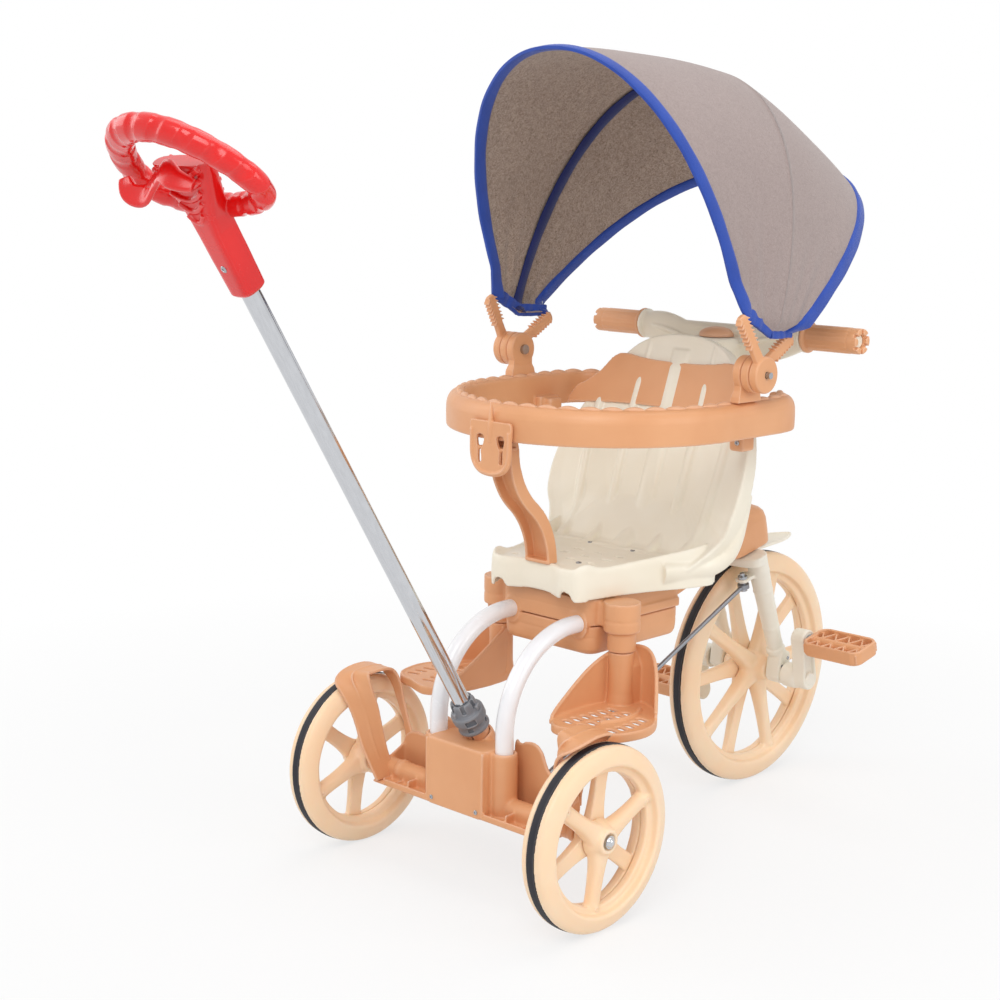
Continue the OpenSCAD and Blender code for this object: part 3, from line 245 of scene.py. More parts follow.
def grown(outline, by):
    """Outline moved outwards along its own normals."""
    o = np.asarray(outline, float)
    t = np.roll(o, -1, 0) - np.roll(o, 1, 0)
    t /= np.linalg.norm(t, axis=1)[:, None]
    area = 0.5 * np.sum(o[:, 0] * np.roll(o[:, 1], -1) - np.roll(o[:, 0], -1) * o[:, 1])
    return o + by * math.copysign(1, area) * np.column_stack([t[:, 1], -t[:, 0]])


def block(low, high, r=2.0, steps=3):
    """A box with round edges."""
    low, high = np.asarray(low, float), np.asarray(high, float)
    bm = bmesh.new()
    bmesh.ops.create_cube(bm, size=1.0)
    for v in bm.verts:
        v.co = Vector((low + high) / 2 + np.array(v.co) * (high - low))
    r = min(r, 0.45 * min(high - low))
    if r > 0:
        bmesh.ops.bevel(bm, geom=bm.edges[:], offset=r, segments=steps, profile=0.5, affect="EDGES",
            clamp_overlap=True)
    bm.verts.index_update()
    shape = (np.array([v.co[:] for v in bm.verts]), [tuple(v.index for v in f.verts) for f in bm.faces])
    bm.free()
    return shape


# ---------------------------------------------------------------- pieces


def mesh_of(name, shape, to_row=True):
    points, faces = shape
    mesh = bpy.data.meshes.new(name)
    points = np.asarray(points, float)
    if to_row:
        points = points * 0.001 + np.array([0, AXLE.y, 0])
    mesh.from_pydata(points.tolist(), [], [tuple(f) for f in faces])
    mesh.validate()
    return mesh


def applied(obj):
    """The evaluated mesh in place of the object's own, with no modifier left."""
    bpy.context.view_layer.update()
    graph = bpy.context.evaluated_depsgraph_get()
    new = bpy.data.meshes.new_from_object(obj.evaluated_get(graph), depsgraph=graph)
    obj.modifiers.clear()
    old, obj.data = obj.data, new
    if old.users == 0:
        bpy.data.meshes.remove(old)
    new.name = obj.name
    return obj


def tidied(mesh, flat_over=35.0):
    bm = bmesh.new()
    bm.from_mesh(mesh)
    bmesh.ops.remove_doubles(bm, verts=bm.verts, dist=1e-5)
    bmesh.ops.recalc_face_normals(bm, faces=bm.faces)
    for face in bm.faces:
        face.smooth = True
    for edge in bm.edges:
        edge.smooth = len(edge.link_faces) != 2 or edge.calc_face_angle(0) < rad(flat_over)
    bm.to_mesh(mesh)
    bm.free()


# the share of a fused skin's faces that is kept; the flat parts give up the rest
FUSED_SHARE = 0.6


def piece(name, shape, material, body, replaces=(), fuse=0.0, soften=2, sharp=35.0, subdivide=0):
    """A finished piece on a body. fuse is the grain, in millimetres, at which overlapping
    shells are moulded into one skin, and soften the passes that round its fillets."""
    obj = bpy.data.objects.new(name, mesh_of(name, shape))
    bpy.context.scene.collection.objects.link(obj)
    tidied(obj.data, sharp)
    if subdivide:
        smooth = obj.modifiers.new("round", "SUBSURF")
        smooth.levels = smooth.render_levels = subdivide
    if fuse:
        skin = obj.modifiers.new("skin", "REMESH")
        skin.mode = "VOXEL"
        skin.voxel_size = fuse * 0.001
        skin.adaptivity = 0.0
        skin.use_smooth_shade = True
        if soften:
            soft = obj.modifiers.new("soften", "SMOOTH")
            soft.factor = 0.5
            soft.iterations = soften
        thin = obj.modifiers.new("thin", "DECIMATE")
        thin.ratio = FUSED_SHARE
    if subdivide or fuse:
        applied(obj)
        tidied(obj.data, 180.0 if fuse else sharp)
    for m in material if isinstance(material, (list, tuple)) else [material]:
        obj.data.materials.append(m)
    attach(obj, body)
    if replaces:
        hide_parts(*([replaces] if isinstance(replaces, str) else replaces))
    return obj


def moulding(name, shape, finish, body, fuse=0.0, soften=2):
    """The moulded skin that stands for the CAD node of the same name."""
    return piece(name + "_moulding", shape, FINISH[finish], body, name, fuse, soften)


# ---------------------------------------------------------------- finishes


def shade(red, green, blue):
    """A colour written 0 to 255, as light."""
    def light(v):
        v /= 255.0
        return v / 12.92 if v <= 0.04045 else ((v + 0.055) / 1.055) ** 2.4
    return (light(red), light(green), light(blue), 1.0)


def new_group(name, ins, outs):
    """A shader group. ins holds (name, type, default) and outs (name, type)."""
    tree = bpy.data.node_groups.new(name, "ShaderNodeTree")
    for label, kind, default in ins:
        socket = tree.interface.new_socket(name=label, in_out="INPUT", socket_type=kind)
        socket.default_value = default
    for label, kind in outs:
        tree.interface.new_socket(name=label, in_out="OUTPUT", socket_type=kind)
    return tree, tree.nodes.new("NodeGroupInput"), tree.nodes.new("NodeGroupOutput")


def node(tree, kind, inputs=None, **settings):
    made = tree.nodes.new(kind)
    for key, value in settings.items():
        setattr(made, key, value)
    for key, value in (inputs or {}).items():
        if isinstance(value, bpy.types.NodeSocket):
            tree.links.new(value, made.inputs[key])
        else:
            made.inputs[key].default_value = value
    return made


def blended(tree, share, a, b, how="MIX"):
    """Colour a turned towards b by share."""
    mix = node(tree, "ShaderNodeMix", data_type="RGBA", blend_type=how)
    for index, value in ((0, share), (6, a), (7, b)):
        if isinstance(value, bpy.types.NodeSocket):
            tree.links.new(value, mix.inputs[index])
        else:
            mix.inputs[index].default_value = value
    return mix.outputs[2]


def ranged(tree, value, low, high, to_low=0.0, to_high=1.0):
    made = node(tree, "ShaderNodeMapRange", {"Value": value, "From Min": low, "From Max": high,
        "To Min": to_low, "To Max": to_high})
    return made.outputs[0]


def summed(tree, operation, a, b):
    made = node(tree, "ShaderNodeMath", operation=operation)
    for index, value in ((0, a), (1, b)):
        if isinstance(value, bpy.types.NodeSocket):
            tree.links.new(value, made.inputs[index])
        else:
            made.inputs[index].default_value = value
    return made.outputs[0]


def make_groups():
    """The effects that several finishes share."""
    colour, value, vector = "NodeSocketColor", "NodeSocketFloat", "NodeSocketVector"

    # moulding: slow drift of tint, fine spark texture and worn-bright edges
    t, i, o = new_group("moulded_skin", [("Vector", vector, (0, 0, 0)), ("Color", colour, (0.8, 0.8, 0.8, 1)),
        ("Drift Color", colour, (0.7, 0.7, 0.7, 1)), ("Drift", value, 0.4), ("Grain Scale", value, 900.0),
        ("Polish", value, 0.35), ("Edge Light", value, 0.25)], [("Color", colour), ("Roughness", value),
        ("Height", value)])
    drift = node(t, "ShaderNodeTexNoise", {"Vector": i.outputs["Vector"], "Scale": 9.0, "Detail": 3.0,
        "Roughness": 0.55})
    grain = node(t, "ShaderNodeTexNoise", {"Vector": i.outputs["Vector"], "Scale": i.outputs["Grain Scale"],
        "Detail": 2.0})
    flow = node(t, "ShaderNodeTexNoise", {"Vector": i.outputs["Vector"], "Scale": 42.0, "Detail": 4.0,
        "Distortion": 0.6})
    share = summed(t, "MULTIPLY", ranged(t, drift.outputs["Fac"], 0.38, 0.64), i.outputs["Drift"])
    base = blended(t, share, i.outputs["Color"], i.outputs["Drift Color"])
    form = node(t, "ShaderNodeNewGeometry")
    edge = summed(t, "MULTIPLY", ranged(t, form.outputs["Pointiness"], 0.51, 0.58), i.outputs["Edge Light"])
    base = blended(t, edge, base, (1, 0.97, 0.93, 1), "SCREEN")
    t.links.new(base, o.inputs["Color"])
    rough = summed(t, "ADD", i.outputs["Polish"], ranged(t, flow.outputs["Fac"], 0.3, 0.7, -0.05, 0.07))
    t.links.new(rough, o.inputs["Roughness"])
    height = summed(t, "ADD", grain.outputs["Fac"], summed(t, "MULTIPLY", flow.outputs["Fac"], 0.6))
    t.links.new(height, o.inputs["Height"])

    # handling: thin scratches and dull finger marks
    t, i, o = new_group("handling_marks", [("Vector", vector, (0, 0, 0)), ("Scratch Scale", value, 60.0),
        ("Amount", value, 0.3)], [("Mask", value), ("Roughness", value)])
    lean = node(t, "ShaderNodeMapping", {"Vector": i.outputs["Vector"], "Rotation": (0.5, 0.3, 0.9),
        "Scale": (1.0, 9.0, 3.0)})
    lines = node(t, "ShaderNodeTexNoise", {"Vector": lean.outputs[0], "Scale": i.outputs["Scratch Scale"],
        "Detail": 6.0, "Roughness": 0.7})
    thin = ranged(t, lines.outputs["Fac"], 0.66, 0.74)
    smear = node(t, "ShaderNodeTexNoise", {"Vector": i.outputs["Vector"], "Scale": 14.0, "Detail": 5.0,
        "Distortion": 1.2})
    t.links.new(summed(t, "MULTIPLY", thin, i.outputs["Amount"]), o.inputs["Mask"])
    dull = summed(t, "MULTIPLY", ranged(t, smear.outputs["Fac"], 0.45, 0.75, 0.0, 0.25), i.outputs["Amount"])
    t.links.new(dull, o.inputs["Roughness"])

    # bonded fleece: short fibres pressed flat, with lighter and darker flecks
    t, i, o = new_group("bonded_fleece", [("Vector", vector, (0, 0, 0)),
        ("Color", colour, (0.5, 0.5, 0.5, 1)), ("Fleck Color", colour, (0.3, 0.3, 0.3, 1)),
        ("Light Color", colour, (0.7, 0.7, 0.7, 1)), ("Fibre Scale", value, 260.0), ("Flecks", value, 0.6)],
        [("Color", colour), ("Height", value)])
    fibre = node(t, "ShaderNodeTexNoise", {"Vector": i.outputs["Vector"], "Scale": i.outputs["Fibre Scale"],
        "Detail": 5.0, "Roughness": 0.75, "Distortion": 1.6})
    fleck = node(t, "ShaderNodeTexNoise", {"Vector": i.outputs["Vector"], "Scale": 620.0, "Detail": 3.0,
        "Roughness": 0.8})
    cloud = node(t, "ShaderNodeTexNoise", {"Vector": i.outputs["Vector"], "Scale": 7.0, "Detail": 4.0})
    dark = summed(t, "MULTIPLY", ranged(t, fibre.outputs["Fac"], 0.42, 0.62), i.outputs["Flecks"])
    base = blended(t, dark, i.outputs["Color"], i.outputs["Fleck Color"])
    pale = summed(t, "MULTIPLY", ranged(t, fleck.outputs["Fac"], 0.56, 0.72), i.outputs["Flecks"])
    base = blended(t, pale, base, i.outputs["Light Color"])
    base = blended(t, ranged(t, cloud.outputs["Fac"], 0.35, 0.7, 0.0, 0.22), base, i.outputs["Fleck Color"])
    t.links.new(base, o.inputs["Color"])
    t.links.new(summed(t, "ADD", fibre.outputs["Fac"], fleck.outputs["Fac"]), o.inputs["Height"])

    # woven tape: ribs across the tape, read from its own UV map
    t, i, o = new_group("tape_weave", [("Vector", vector, (0, 0, 0)), ("Color", colour, (0.1, 0.2, 0.6, 1)),
        ("Shadow Color", colour, (0.02, 0.04, 0.2, 1)), ("Ribs", value, 420.0)],
        [("Color", colour), ("Height", value)])
    across = node(t, "ShaderNodeTexWave", {"Vector": i.outputs["Vector"], "Scale": i.outputs["Ribs"],
        "Distortion": 1.5, "Detail": 2.0, "Detail Scale": 2.0}, wave_type="BANDS", bands_direction="X")
    along = node(t, "ShaderNodeTexWave", {"Vector": i.outputs["Vector"], "Scale": i.outputs["Ribs"]},
        wave_type="BANDS", bands_direction="Y")
    worn = node(t, "ShaderNodeTexNoise", {"Vector": i.outputs["Vector"], "Scale": 25.0, "Detail": 4.0})
    weave = summed(t, "MULTIPLY", across.outputs["Fac"], along.outputs["Fac"])
    base = blended(t, ranged(t, weave, 0.1, 0.9, 0.35, 0.0), i.outputs["Color"], i.outputs["Shadow Color"])
    base = blended(t, ranged(t, worn.outputs["Fac"], 0.35, 0.7, 0.0, 0.3), base, i.outputs["Shadow Color"])
    t.links.new(base, o.inputs["Color"])
    t.links.new(weave, o.inputs["Height"])


def grouped(tree, name, inputs):
    made = tree.nodes.new("ShaderNodeGroup")
    made.node_tree = bpy.data.node_groups[name]
    for key, value in inputs.items():
        if isinstance(value, bpy.types.NodeSocket):
            tree.links.new(value, made.inputs[key])
        else:
            made.inputs[key].default_value = value
    return made


def new_finish(name, **constants):
    """A material with its Principled shader, and constants set on the shader's own sockets."""
    m = bpy.data.materials.new(name)
    m.use_nodes = True
    shader = m.node_tree.nodes["Principled BSDF"]
    for key, value in constants.items():
        shader.inputs[key.replace("_", " ")].default_value = value
    m.diffuse_color = constants.get("Base_Color", (0.8, 0.8, 0.8, 1))
    return m, m.node_tree, shader


def bumped(tree, shader, height, strength, distance):
    bump = node(tree, "ShaderNodeBump", {"Height": height, "Strength": strength, "Distance": distance})
    tree.links.new(bump.outputs[0], shader.inputs["Normal"])


def plastic(name, colour, drift, polish=0.36, grain=900.0, depth=0.12, marks=0.35, edge=0.2, glow=0.0,
        drift_share=0.5, coat=0.0):
    m, t, shader = new_finish(name, Specular_IOR_Level=0.45, Coat_Weight=coat, Coat_Roughness=0.12)
    if glow:
        shader.inputs["Subsurface Weight"].default_value = glow
        shader.inputs["Subsurface Radius"].default_value = (0.012, 0.006, 0.003)
        shader.inputs["Subsurface Scale"].default_value = 0.35
    at = node(t, "ShaderNodeTexCoord").outputs["Object"]
    skin = grouped(t, "moulded_skin", {"Vector": at, "Color": colour, "Drift Color": drift,
        "Grain Scale": grain, "Polish": polish, "Edge Light": edge, "Drift": drift_share})
    hand = grouped(t, "handling_marks", {"Vector": at, "Amount": marks})
    colour_out = blended(t, summed(t, "MULTIPLY", hand.outputs["Mask"], 0.25), skin.outputs["Color"],
        (1, 0.98, 0.95, 1), "SCREEN")
    t.links.new(colour_out, shader.inputs["Base Color"])
    t.links.new(summed(t, "ADD", skin.outputs["Roughness"], hand.outputs["Roughness"]),
        shader.inputs["Roughness"])
    bumped(t, shader, skin.outputs["Height"], depth, 0.0004)
    return m


def metal(name, colour, roughness, brushed=0.0, axis=(1.0, 1.0, 0.06)):
    m, t, shader = new_finish(name, Metallic=1.0)
    at = node(t, "ShaderNodeTexCoord").outputs["Object"]
    stretch = node(t, "ShaderNodeMapping", {"Vector": at, "Scale": axis})
    lines = node(t, "ShaderNodeTexNoise", {"Vector": stretch.outputs[0], "Scale": 900.0, "Detail": 4.0})
    hand = grouped(t, "handling_marks", {"Vector": at, "Amount": 0.5, "Scratch Scale": 40.0})
    darker = tuple(c * 0.8 for c in colour[:3]) + (1,)
    base = blended(t, ranged(t, lines.outputs["Fac"], 0.3, 0.7, 0.0, 0.5), colour, darker)
    t.links.new(base, shader.inputs["Base Color"])
    wear = summed(t, "ADD", hand.outputs["Roughness"], hand.outputs["Mask"])
    t.links.new(summed(t, "ADD", summed(t, "MULTIPLY", wear, 0.3), roughness), shader.inputs["Roughness"])
    bumped(t, shader, lines.outputs["Fac"], brushed, 0.0002)
    return m


def cloth(name, colour, fleck, light, flecks=0.6, depth=0.6):
    m, t, shader = new_finish(name, Roughness=0.95, Specular_IOR_Level=0.15, Sheen_Weight=0.25,
        Sheen_Roughness=0.5)
    at = node(t, "ShaderNodeTexCoord").outputs["Object"]
    fleece = grouped(t, "bonded_fleece", {"Vector": at, "Color": colour, "Fleck Color": fleck,
        "Light Color": light, "Flecks": flecks})
    t.links.new(fleece.outputs["Color"], shader.inputs["Base Color"])
    bumped(t, shader, fleece.outputs["Height"], depth, 0.0006)
    return m


def tape(name, colour, dark):
    m, t, shader = new_finish(name, Roughness=0.7, Specular_IOR_Level=0.3, Sheen_Weight=0.2)
    at = node(t, "ShaderNodeUVMap", uv_map="tape").outputs[0]
    weave = grouped(t, "tape_weave", {"Vector": at, "Color": colour, "Shadow Color": dark})
    t.links.new(weave.outputs["Color"], shader.inputs["Base Color"])
    bumped(t, shader, weave.outputs["Height"], 0.35, 0.0004)
    return m


FINISH = {}


def make_finishes(sizes):
    """The object's finishes, by name."""
    make_groups()
    tan, peach, cream, red = (tuple(sizes.tan) + (1,), tuple(sizes.peach) + (1,), tuple(sizes.cream) + (1,),
        tuple(sizes.red) + (1,))
    FINISH.update(tan=plastic("tan_moulding", tan, shade(214, 150, 104), 0.38, 700.0, 0.10),
        peach=plastic("peach_moulding", peach, shade(250, 206, 162), 0.33, 1000.0, 0.06, glow=0.12),
        cream=plastic("cream_moulding", cream, shade(232, 222, 200), 0.33, 900.0, 0.07, edge=0.1),
        ivory=plastic("ivory_moulding", shade(240, 235, 222), shade(228, 222, 204), 0.34, 900.0, 0.07,
        edge=0.1), red=plastic("red_moulding", red, shade(205, 8, 8), 0.2, 500.0, 0.05, edge=0.12, coat=0.35),
        grey=plastic("grey_moulding", shade(128, 130, 136), shade(104, 106, 112), 0.42, 700.0, 0.12),
        paint=plastic("white_powder_coat", shade(244, 244, 246), shade(234, 234, 238), 0.22, 320.0, 0.08,
        edge=0.0, marks=0.2, coat=0.4), rubber=plastic("black_rubber", shade(26, 26, 34), shade(38, 36, 44),
        0.6, 520.0, 0.25, marks=0.5, edge=0.05), chrome=metal("chrome_pole", shade(206, 208, 212), 0.10, 0.02,
        (1.0, 0.1, 0.06)), steel=metal("bright_steel", shade(176, 178, 182), 0.24, 0.08),
        wire=metal("grey_steel_wire", shade(150, 152, 158), 0.3, 0.06), shadow=plastic("dark_recess",
        shade(70, 48, 36), shade(52, 36, 28), 0.7, 400.0, 0.2, edge=0.0), cloth=cloth("canopy_fleece",
        shade(166, 150, 146), shade(140, 126, 123), shade(184, 170, 166)), lining=cloth("canopy_lining",
        shade(186, 168, 154), shade(118, 100, 88), shade(222, 206, 194), 0.9, 0.8),
        blue=tape("blue_tape", shade(44, 84, 184), shade(22, 44, 120)),
        navy=tape("navy_tape", shade(26, 42, 112), shade(12, 20, 66)), thread=plastic("blue_thread",
        shade(70, 110, 205), shade(50, 90, 180), 0.7, 900.0, 0.2),)


# ---------------------------------------------------------------- repeats


def repeat_tree(name):
    """Geometry Nodes: an item at every point of the base mesh, turned to the point's
    normal, made real and given its material."""
    tree = bpy.data.node_groups.new(name, "GeometryNodeTree")
    for label, kind, way in (("Geometry", "NodeSocketGeometry", "INPUT"), ("Item", "NodeSocketObject",
            "INPUT"), ("Size", "NodeSocketFloat", "INPUT"), ("Material", "NodeSocketMaterial", "INPUT"),
            ("Geometry", "NodeSocketGeometry", "OUTPUT")):
        tree.interface.new_socket(name=label, in_out=way, socket_type=kind)
    get, put = tree.nodes.new("NodeGroupInput"), tree.nodes.new("NodeGroupOutput")
    item = node(tree, "GeometryNodeObjectInfo", {"Object": get.outputs["Item"]})
    way_up = node(tree, "GeometryNodeInputNamedAttribute", {"Name": "out"}, data_type="FLOAT_VECTOR")
    way_on = node(tree, "GeometryNodeInputNamedAttribute", {"Name": "on"}, data_type="FLOAT_VECTOR")
    up = node(tree, "FunctionNodeAlignRotationToVector", {"Vector": way_up.outputs[0]}, axis="Z")
    turn = node(tree, "FunctionNodeAlignRotationToVector", {"Rotation": up.outputs[0],
        "Vector": way_on.outputs[0]}, axis="X", pivot_axis="Z")
    placed = node(tree, "GeometryNodeInstanceOnPoints", {"Points": get.outputs["Geometry"],
        "Instance": item.outputs["Geometry"], "Rotation": turn.outputs[0], "Scale": get.outputs["Size"]})
    real = node(tree, "GeometryNodeRealizeInstances", {"Geometry": placed.outputs[0]})
    finish = node(tree, "GeometryNodeSetMaterial", {"Geometry": real.outputs[0],
        "Material": get.outputs["Material"]})
    tree.links.new(finish.outputs[0], put.inputs[0])
    return tree


def steel_screws(name, radius, height, spots, body="frame", replaces=()):
    """Small steel screw heads of one size."""
    repeated(name, screw_head(radius, height), spots, FINISH["steel"], body,
        replaces=replaces)


def set_input(modifier, label, value):
    """A modifier's input is set by its socket's identifier."""
    for socket in modifier.node_group.interface.items_tree:
        if socket.item_type == "SOCKET" and socket.in_out == "INPUT" and socket.name == label:
            modifier[socket.identifier] = value
            return
    raise ValueError(f"{modifier.node_group.name} has no input named {label}")


def repeated(name, item, spots, material, body, size=1.0, replaces=()):
    """item, a shape about its own origin, at each spot (place, out, on), as one mesh."""
    tree = bpy.data.node_groups.get("repeat_on_points") or repeat_tree("repeat_on_points")
    pattern = bpy.data.objects.new(name + "_item", mesh_of(name + "_item", (np.asarray(item[0]) * 0.001,
        item[1]), False))
    tidied(pattern.data)
    spots = [tuple(np.asarray(v, float) for v in s) for s in spots]
    base = mesh_of(name, (np.array([s[0] for s in spots]), []))
    for label, index in (("out", 1), ("on", 2)):
        held = base.attributes.new(label, "FLOAT_VECTOR", "POINT")
        held.data.foreach_set("vector", np.array([s[index] for s in spots], np.float32).ravel())
    obj = bpy.data.objects.new(name, base)
    bpy.context.scene.collection.objects.link(obj)
    grow = obj.modifiers.new("repeat", "NODES")
    grow.node_group = tree
    set_input(grow, "Item", pattern)
    set_input(grow, "Size", size)
    set_input(grow, "Material", material)
    applied(obj)
    bpy.data.objects.remove(pattern)
    if not obj.data.materials:
        obj.data.materials.append(material)
    if not len(obj.data.polygons):
        raise RuntimeError(f"{name} came out empty")
    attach(obj, body)
    if replaces:
        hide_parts(*([replaces] if isinstance(replaces, str) else replaces))
    return obj


def screw_head(r, h):
    """A low round head with a cross recess, standing on its own origin."""
    n = 24
    rings = []
    for rr, z in ((r, -1.0), (r, h * 0.45), (r * 0.86, h * 0.85), (r * 0.55, h)):
        a = np.linspace(0, 2 * math.pi, n, endpoint=False)
        rings.append(np.column_stack([rr * np.cos(a), rr * np.sin(a), np.full(n, z)]))
    a = np.linspace(0, 2 * math.pi, n, endpoint=False)
    cross = 0.28 + 0.16 * np.abs(np.cos(2 * a)) ** 3
    rings.append(np.column_stack([r * cross * np.cos(a), r * cross * np.sin(a), np.full(n, h * 0.97)]))
    rings.append(np.column_stack([r * cross * 0.7 * np.cos(a), r * cross * 0.7 * np.sin(a),
        np.full(n, h * 0.25)]))
    return loft(rings)


# ---------------------------------------------------------------- canopy
# A bow's outline is (x, height over the pivot) in its own plane, from the
# right foot over the top to the left foot.

BOWS = {  # lean to the rear, half width, foot, widest height, top, power, height of the foot
    "front": (22.3, 195.0, 206.5, 121.0, 408.0, 2.12, 77.0),
    "middle": (-18.4, 218.0, 205.0, 46.0, 383.0, 2.2, 49.0),
    "rear": (-53.4, 221.0, 199.6, 67.0, 400.0, 2.58, 77.0),
}


def bow_outline(which, count):
    _, half, foot, wide, top, power, low = BOWS[which]
    a = np.linspace(0, math.pi, 241)
    x = half * np.sign(np.cos(a)) * np.abs(np.cos(a)) ** (2 / power)
    h = wide + (top - wide) * np.abs(np.sin(a)) ** (2 / power)
    keep = h > low + 12
    line = np.vstack([[(foot, low)], np.column_stack([x, h])[keep], [(-foot, low)]])
    return even_line(line, count)


def in_plane(lean, outline):
    a = rad(lean)
    o = np.asarray(outline, float)
    return np.column_stack([o[:, 0], HUB_Y - o[:, 1] * math.sin(a), HUB_Z + o[:, 1] * math.cos(a)])


def cloth_grid(a, b, sag, steps, round_share):
    """The cloth from bow a to bow b: rows of points, sagging inwards between them."""
    count = 121
    pa, pb = bow_outline(a, count), bow_outline(b, count)
    la, lb = BOWS[a][0], BOWS[b][0]
    sa, sb = in_plane(la, pa), in_plane(lb, pb)
    u = np.linspace(0, 1, count)
    held = np.minimum(1, 6 * np.minimum(u, 1 - u))[:, None]
    rows = []
    for v in np.linspace(0, 1, steps):
        arc = in_plane(la + (lb - la) * v, pa + (pb - pa) * v)
        bent = round_share * held
        row = (sa + (sb - sa) * v) * (1 - bent) + arc * bent
        inward = np.array([0, HUB_Y, HUB_Z + 110]) - row
        inward /= np.linalg.norm(inward, axis=1)[:, None]
        middle = 4 * v * (1 - v)
        row = row + inward * sag * middle * held
        ripple = 1.3 * np.sin(13 * u + 5 * v) * np.sin(7.3 * u - 3 * v) * middle
        # soft pleats that fan out of the two feet
        fan = np.exp(-((np.minimum(u, 1 - u) - 0.07) / 0.07) ** 2) * np.sin(7 * math.pi * v) * 1.5 * middle
        rows.append(row + inward * (ripple + fan)[:, None])
    return np.array(rows)


def cloth_normals(grid):
    """Outward normals over a grid of points."""
    normal = np.cross(np.gradient(grid, axis=1), np.gradient(grid, axis=0))
    normal /= np.linalg.norm(normal, axis=2)[:, :, None]
    return normal * math.copysign(1, np.sum(normal * (grid - np.array([0, HUB_Y, HUB_Z + 60]))))


def cloth_shape(grid, normal, thick):
    """A thin closed sheet from a grid of points: outer skin, inner skin and edges, with the
    number of faces on the outer skin."""
    m, n, _ = grid.shape
    outer, inner = grid + normal * thick / 2, grid - normal * thick / 2
    points = np.vstack([outer.reshape(-1, 3), inner.reshape(-1, 3)])
    faces, size = [], m * n
    for i in range(m - 1):
        for j in range(n - 1):
            a, b, c, d = i * n + j, i * n + j + 1, (i + 1) * n + j + 1, (i + 1) * n + j
            faces.append((a, b, c, d))
    skin = len(faces)
    faces.extend([tuple(k + size for k in reversed(f)) for f in faces[:skin]])
    rim = ([(0, j) for j in range(n)] + [(i, n - 1) for i in range(1, m)] +
        [(m - 1, j) for j in range(n - 2, -1, -1)] + [(i, 0) for i in range(m - 2, 0, -1)])
    for k, (i, j) in enumerate(rim):
        i2, j2 = rim[(k + 1) % len(rim)]
        a, b = i * n + j, i2 * n + j2
        faces.append((a, b, b + size, a + size))
    return (points, faces), skin


# Sections of the tapes: (across, out). The bindings fold round a bow at their + side.
BINDING = [(8.5, 0), (8.1, 2.0), (6.6, 3.2), (3.5, 3.7), (-1.5, 3.0), (-8.0, 2.3), (-9.0, 1.6), (-9.0, -1.6),
    (-8.0, -2.3), (-1.5, -3.0), (3.5, -3.7), (6.6, -3.2), (8.1, -2.0)]
COVER = [(9, -0.2), (9, -1.4), (4.5, -3.6), (-4.5, -3.6), (-9, -1.4), (-9, -0.2), (-3, 0.6), (3, 0.6)]


def taped(name, line, out, section, material, body):
    """A folded tape along a line, with a UV map that runs along it. out is the way its flat
    faces look, one vector for each point."""
    line, out, section = np.asarray(line, float), np.asarray(out, float), np.asarray(section, float)
    tangent = np.gradient(line, axis=0)
    tangent /= np.linalg.norm(tangent, axis=1)[:, None]
    side = np.cross(tangent, out)
    side /= np.linalg.norm(side, axis=1)[:, None]
    top = np.cross(side, tangent)
    far = np.concatenate([[0], np.cumsum(np.linalg.norm(np.diff(line, axis=0), axis=1))])
    pucker = 1 + 0.03 * np.sin(far / 9.0) + 0.03 * np.sin(far / 23.0 + 1)
    rings = [p + section[:, :1] * s * w + section[:, 1:2] * t for p, s, t, w in zip(line, side, top, pucker)]
    obj = piece(name, loft(rings), material, body, sharp=50.0)
    around = np.concatenate([[0], np.cumsum(np.linalg.norm(np.diff(section, axis=0), axis=1))])
    spots = {tuple(np.round(np.array(r[j]) * 0.001 + np.array([0, AXLE.y, 0]), 5)): (far[i], around[j]) for i,
        r in enumerate(rings) for j in range(len(section))}
    uv = obj.data.uv_layers.new(name="tape")
    for loop in obj.data.loops:
        key = tuple(np.round(np.array(obj.data.vertices[loop.vertex_index].co), 5))
        u, v = spots.get(key, (0.0, 0.0))
        uv.data[loop.index].uv = (u * 0.001, v * 0.001)
    return obj


def moved_towards(row, further, by):
    way = further - row
    return row + way / np.linalg.norm(way, axis=-1, keepdims=True) * by


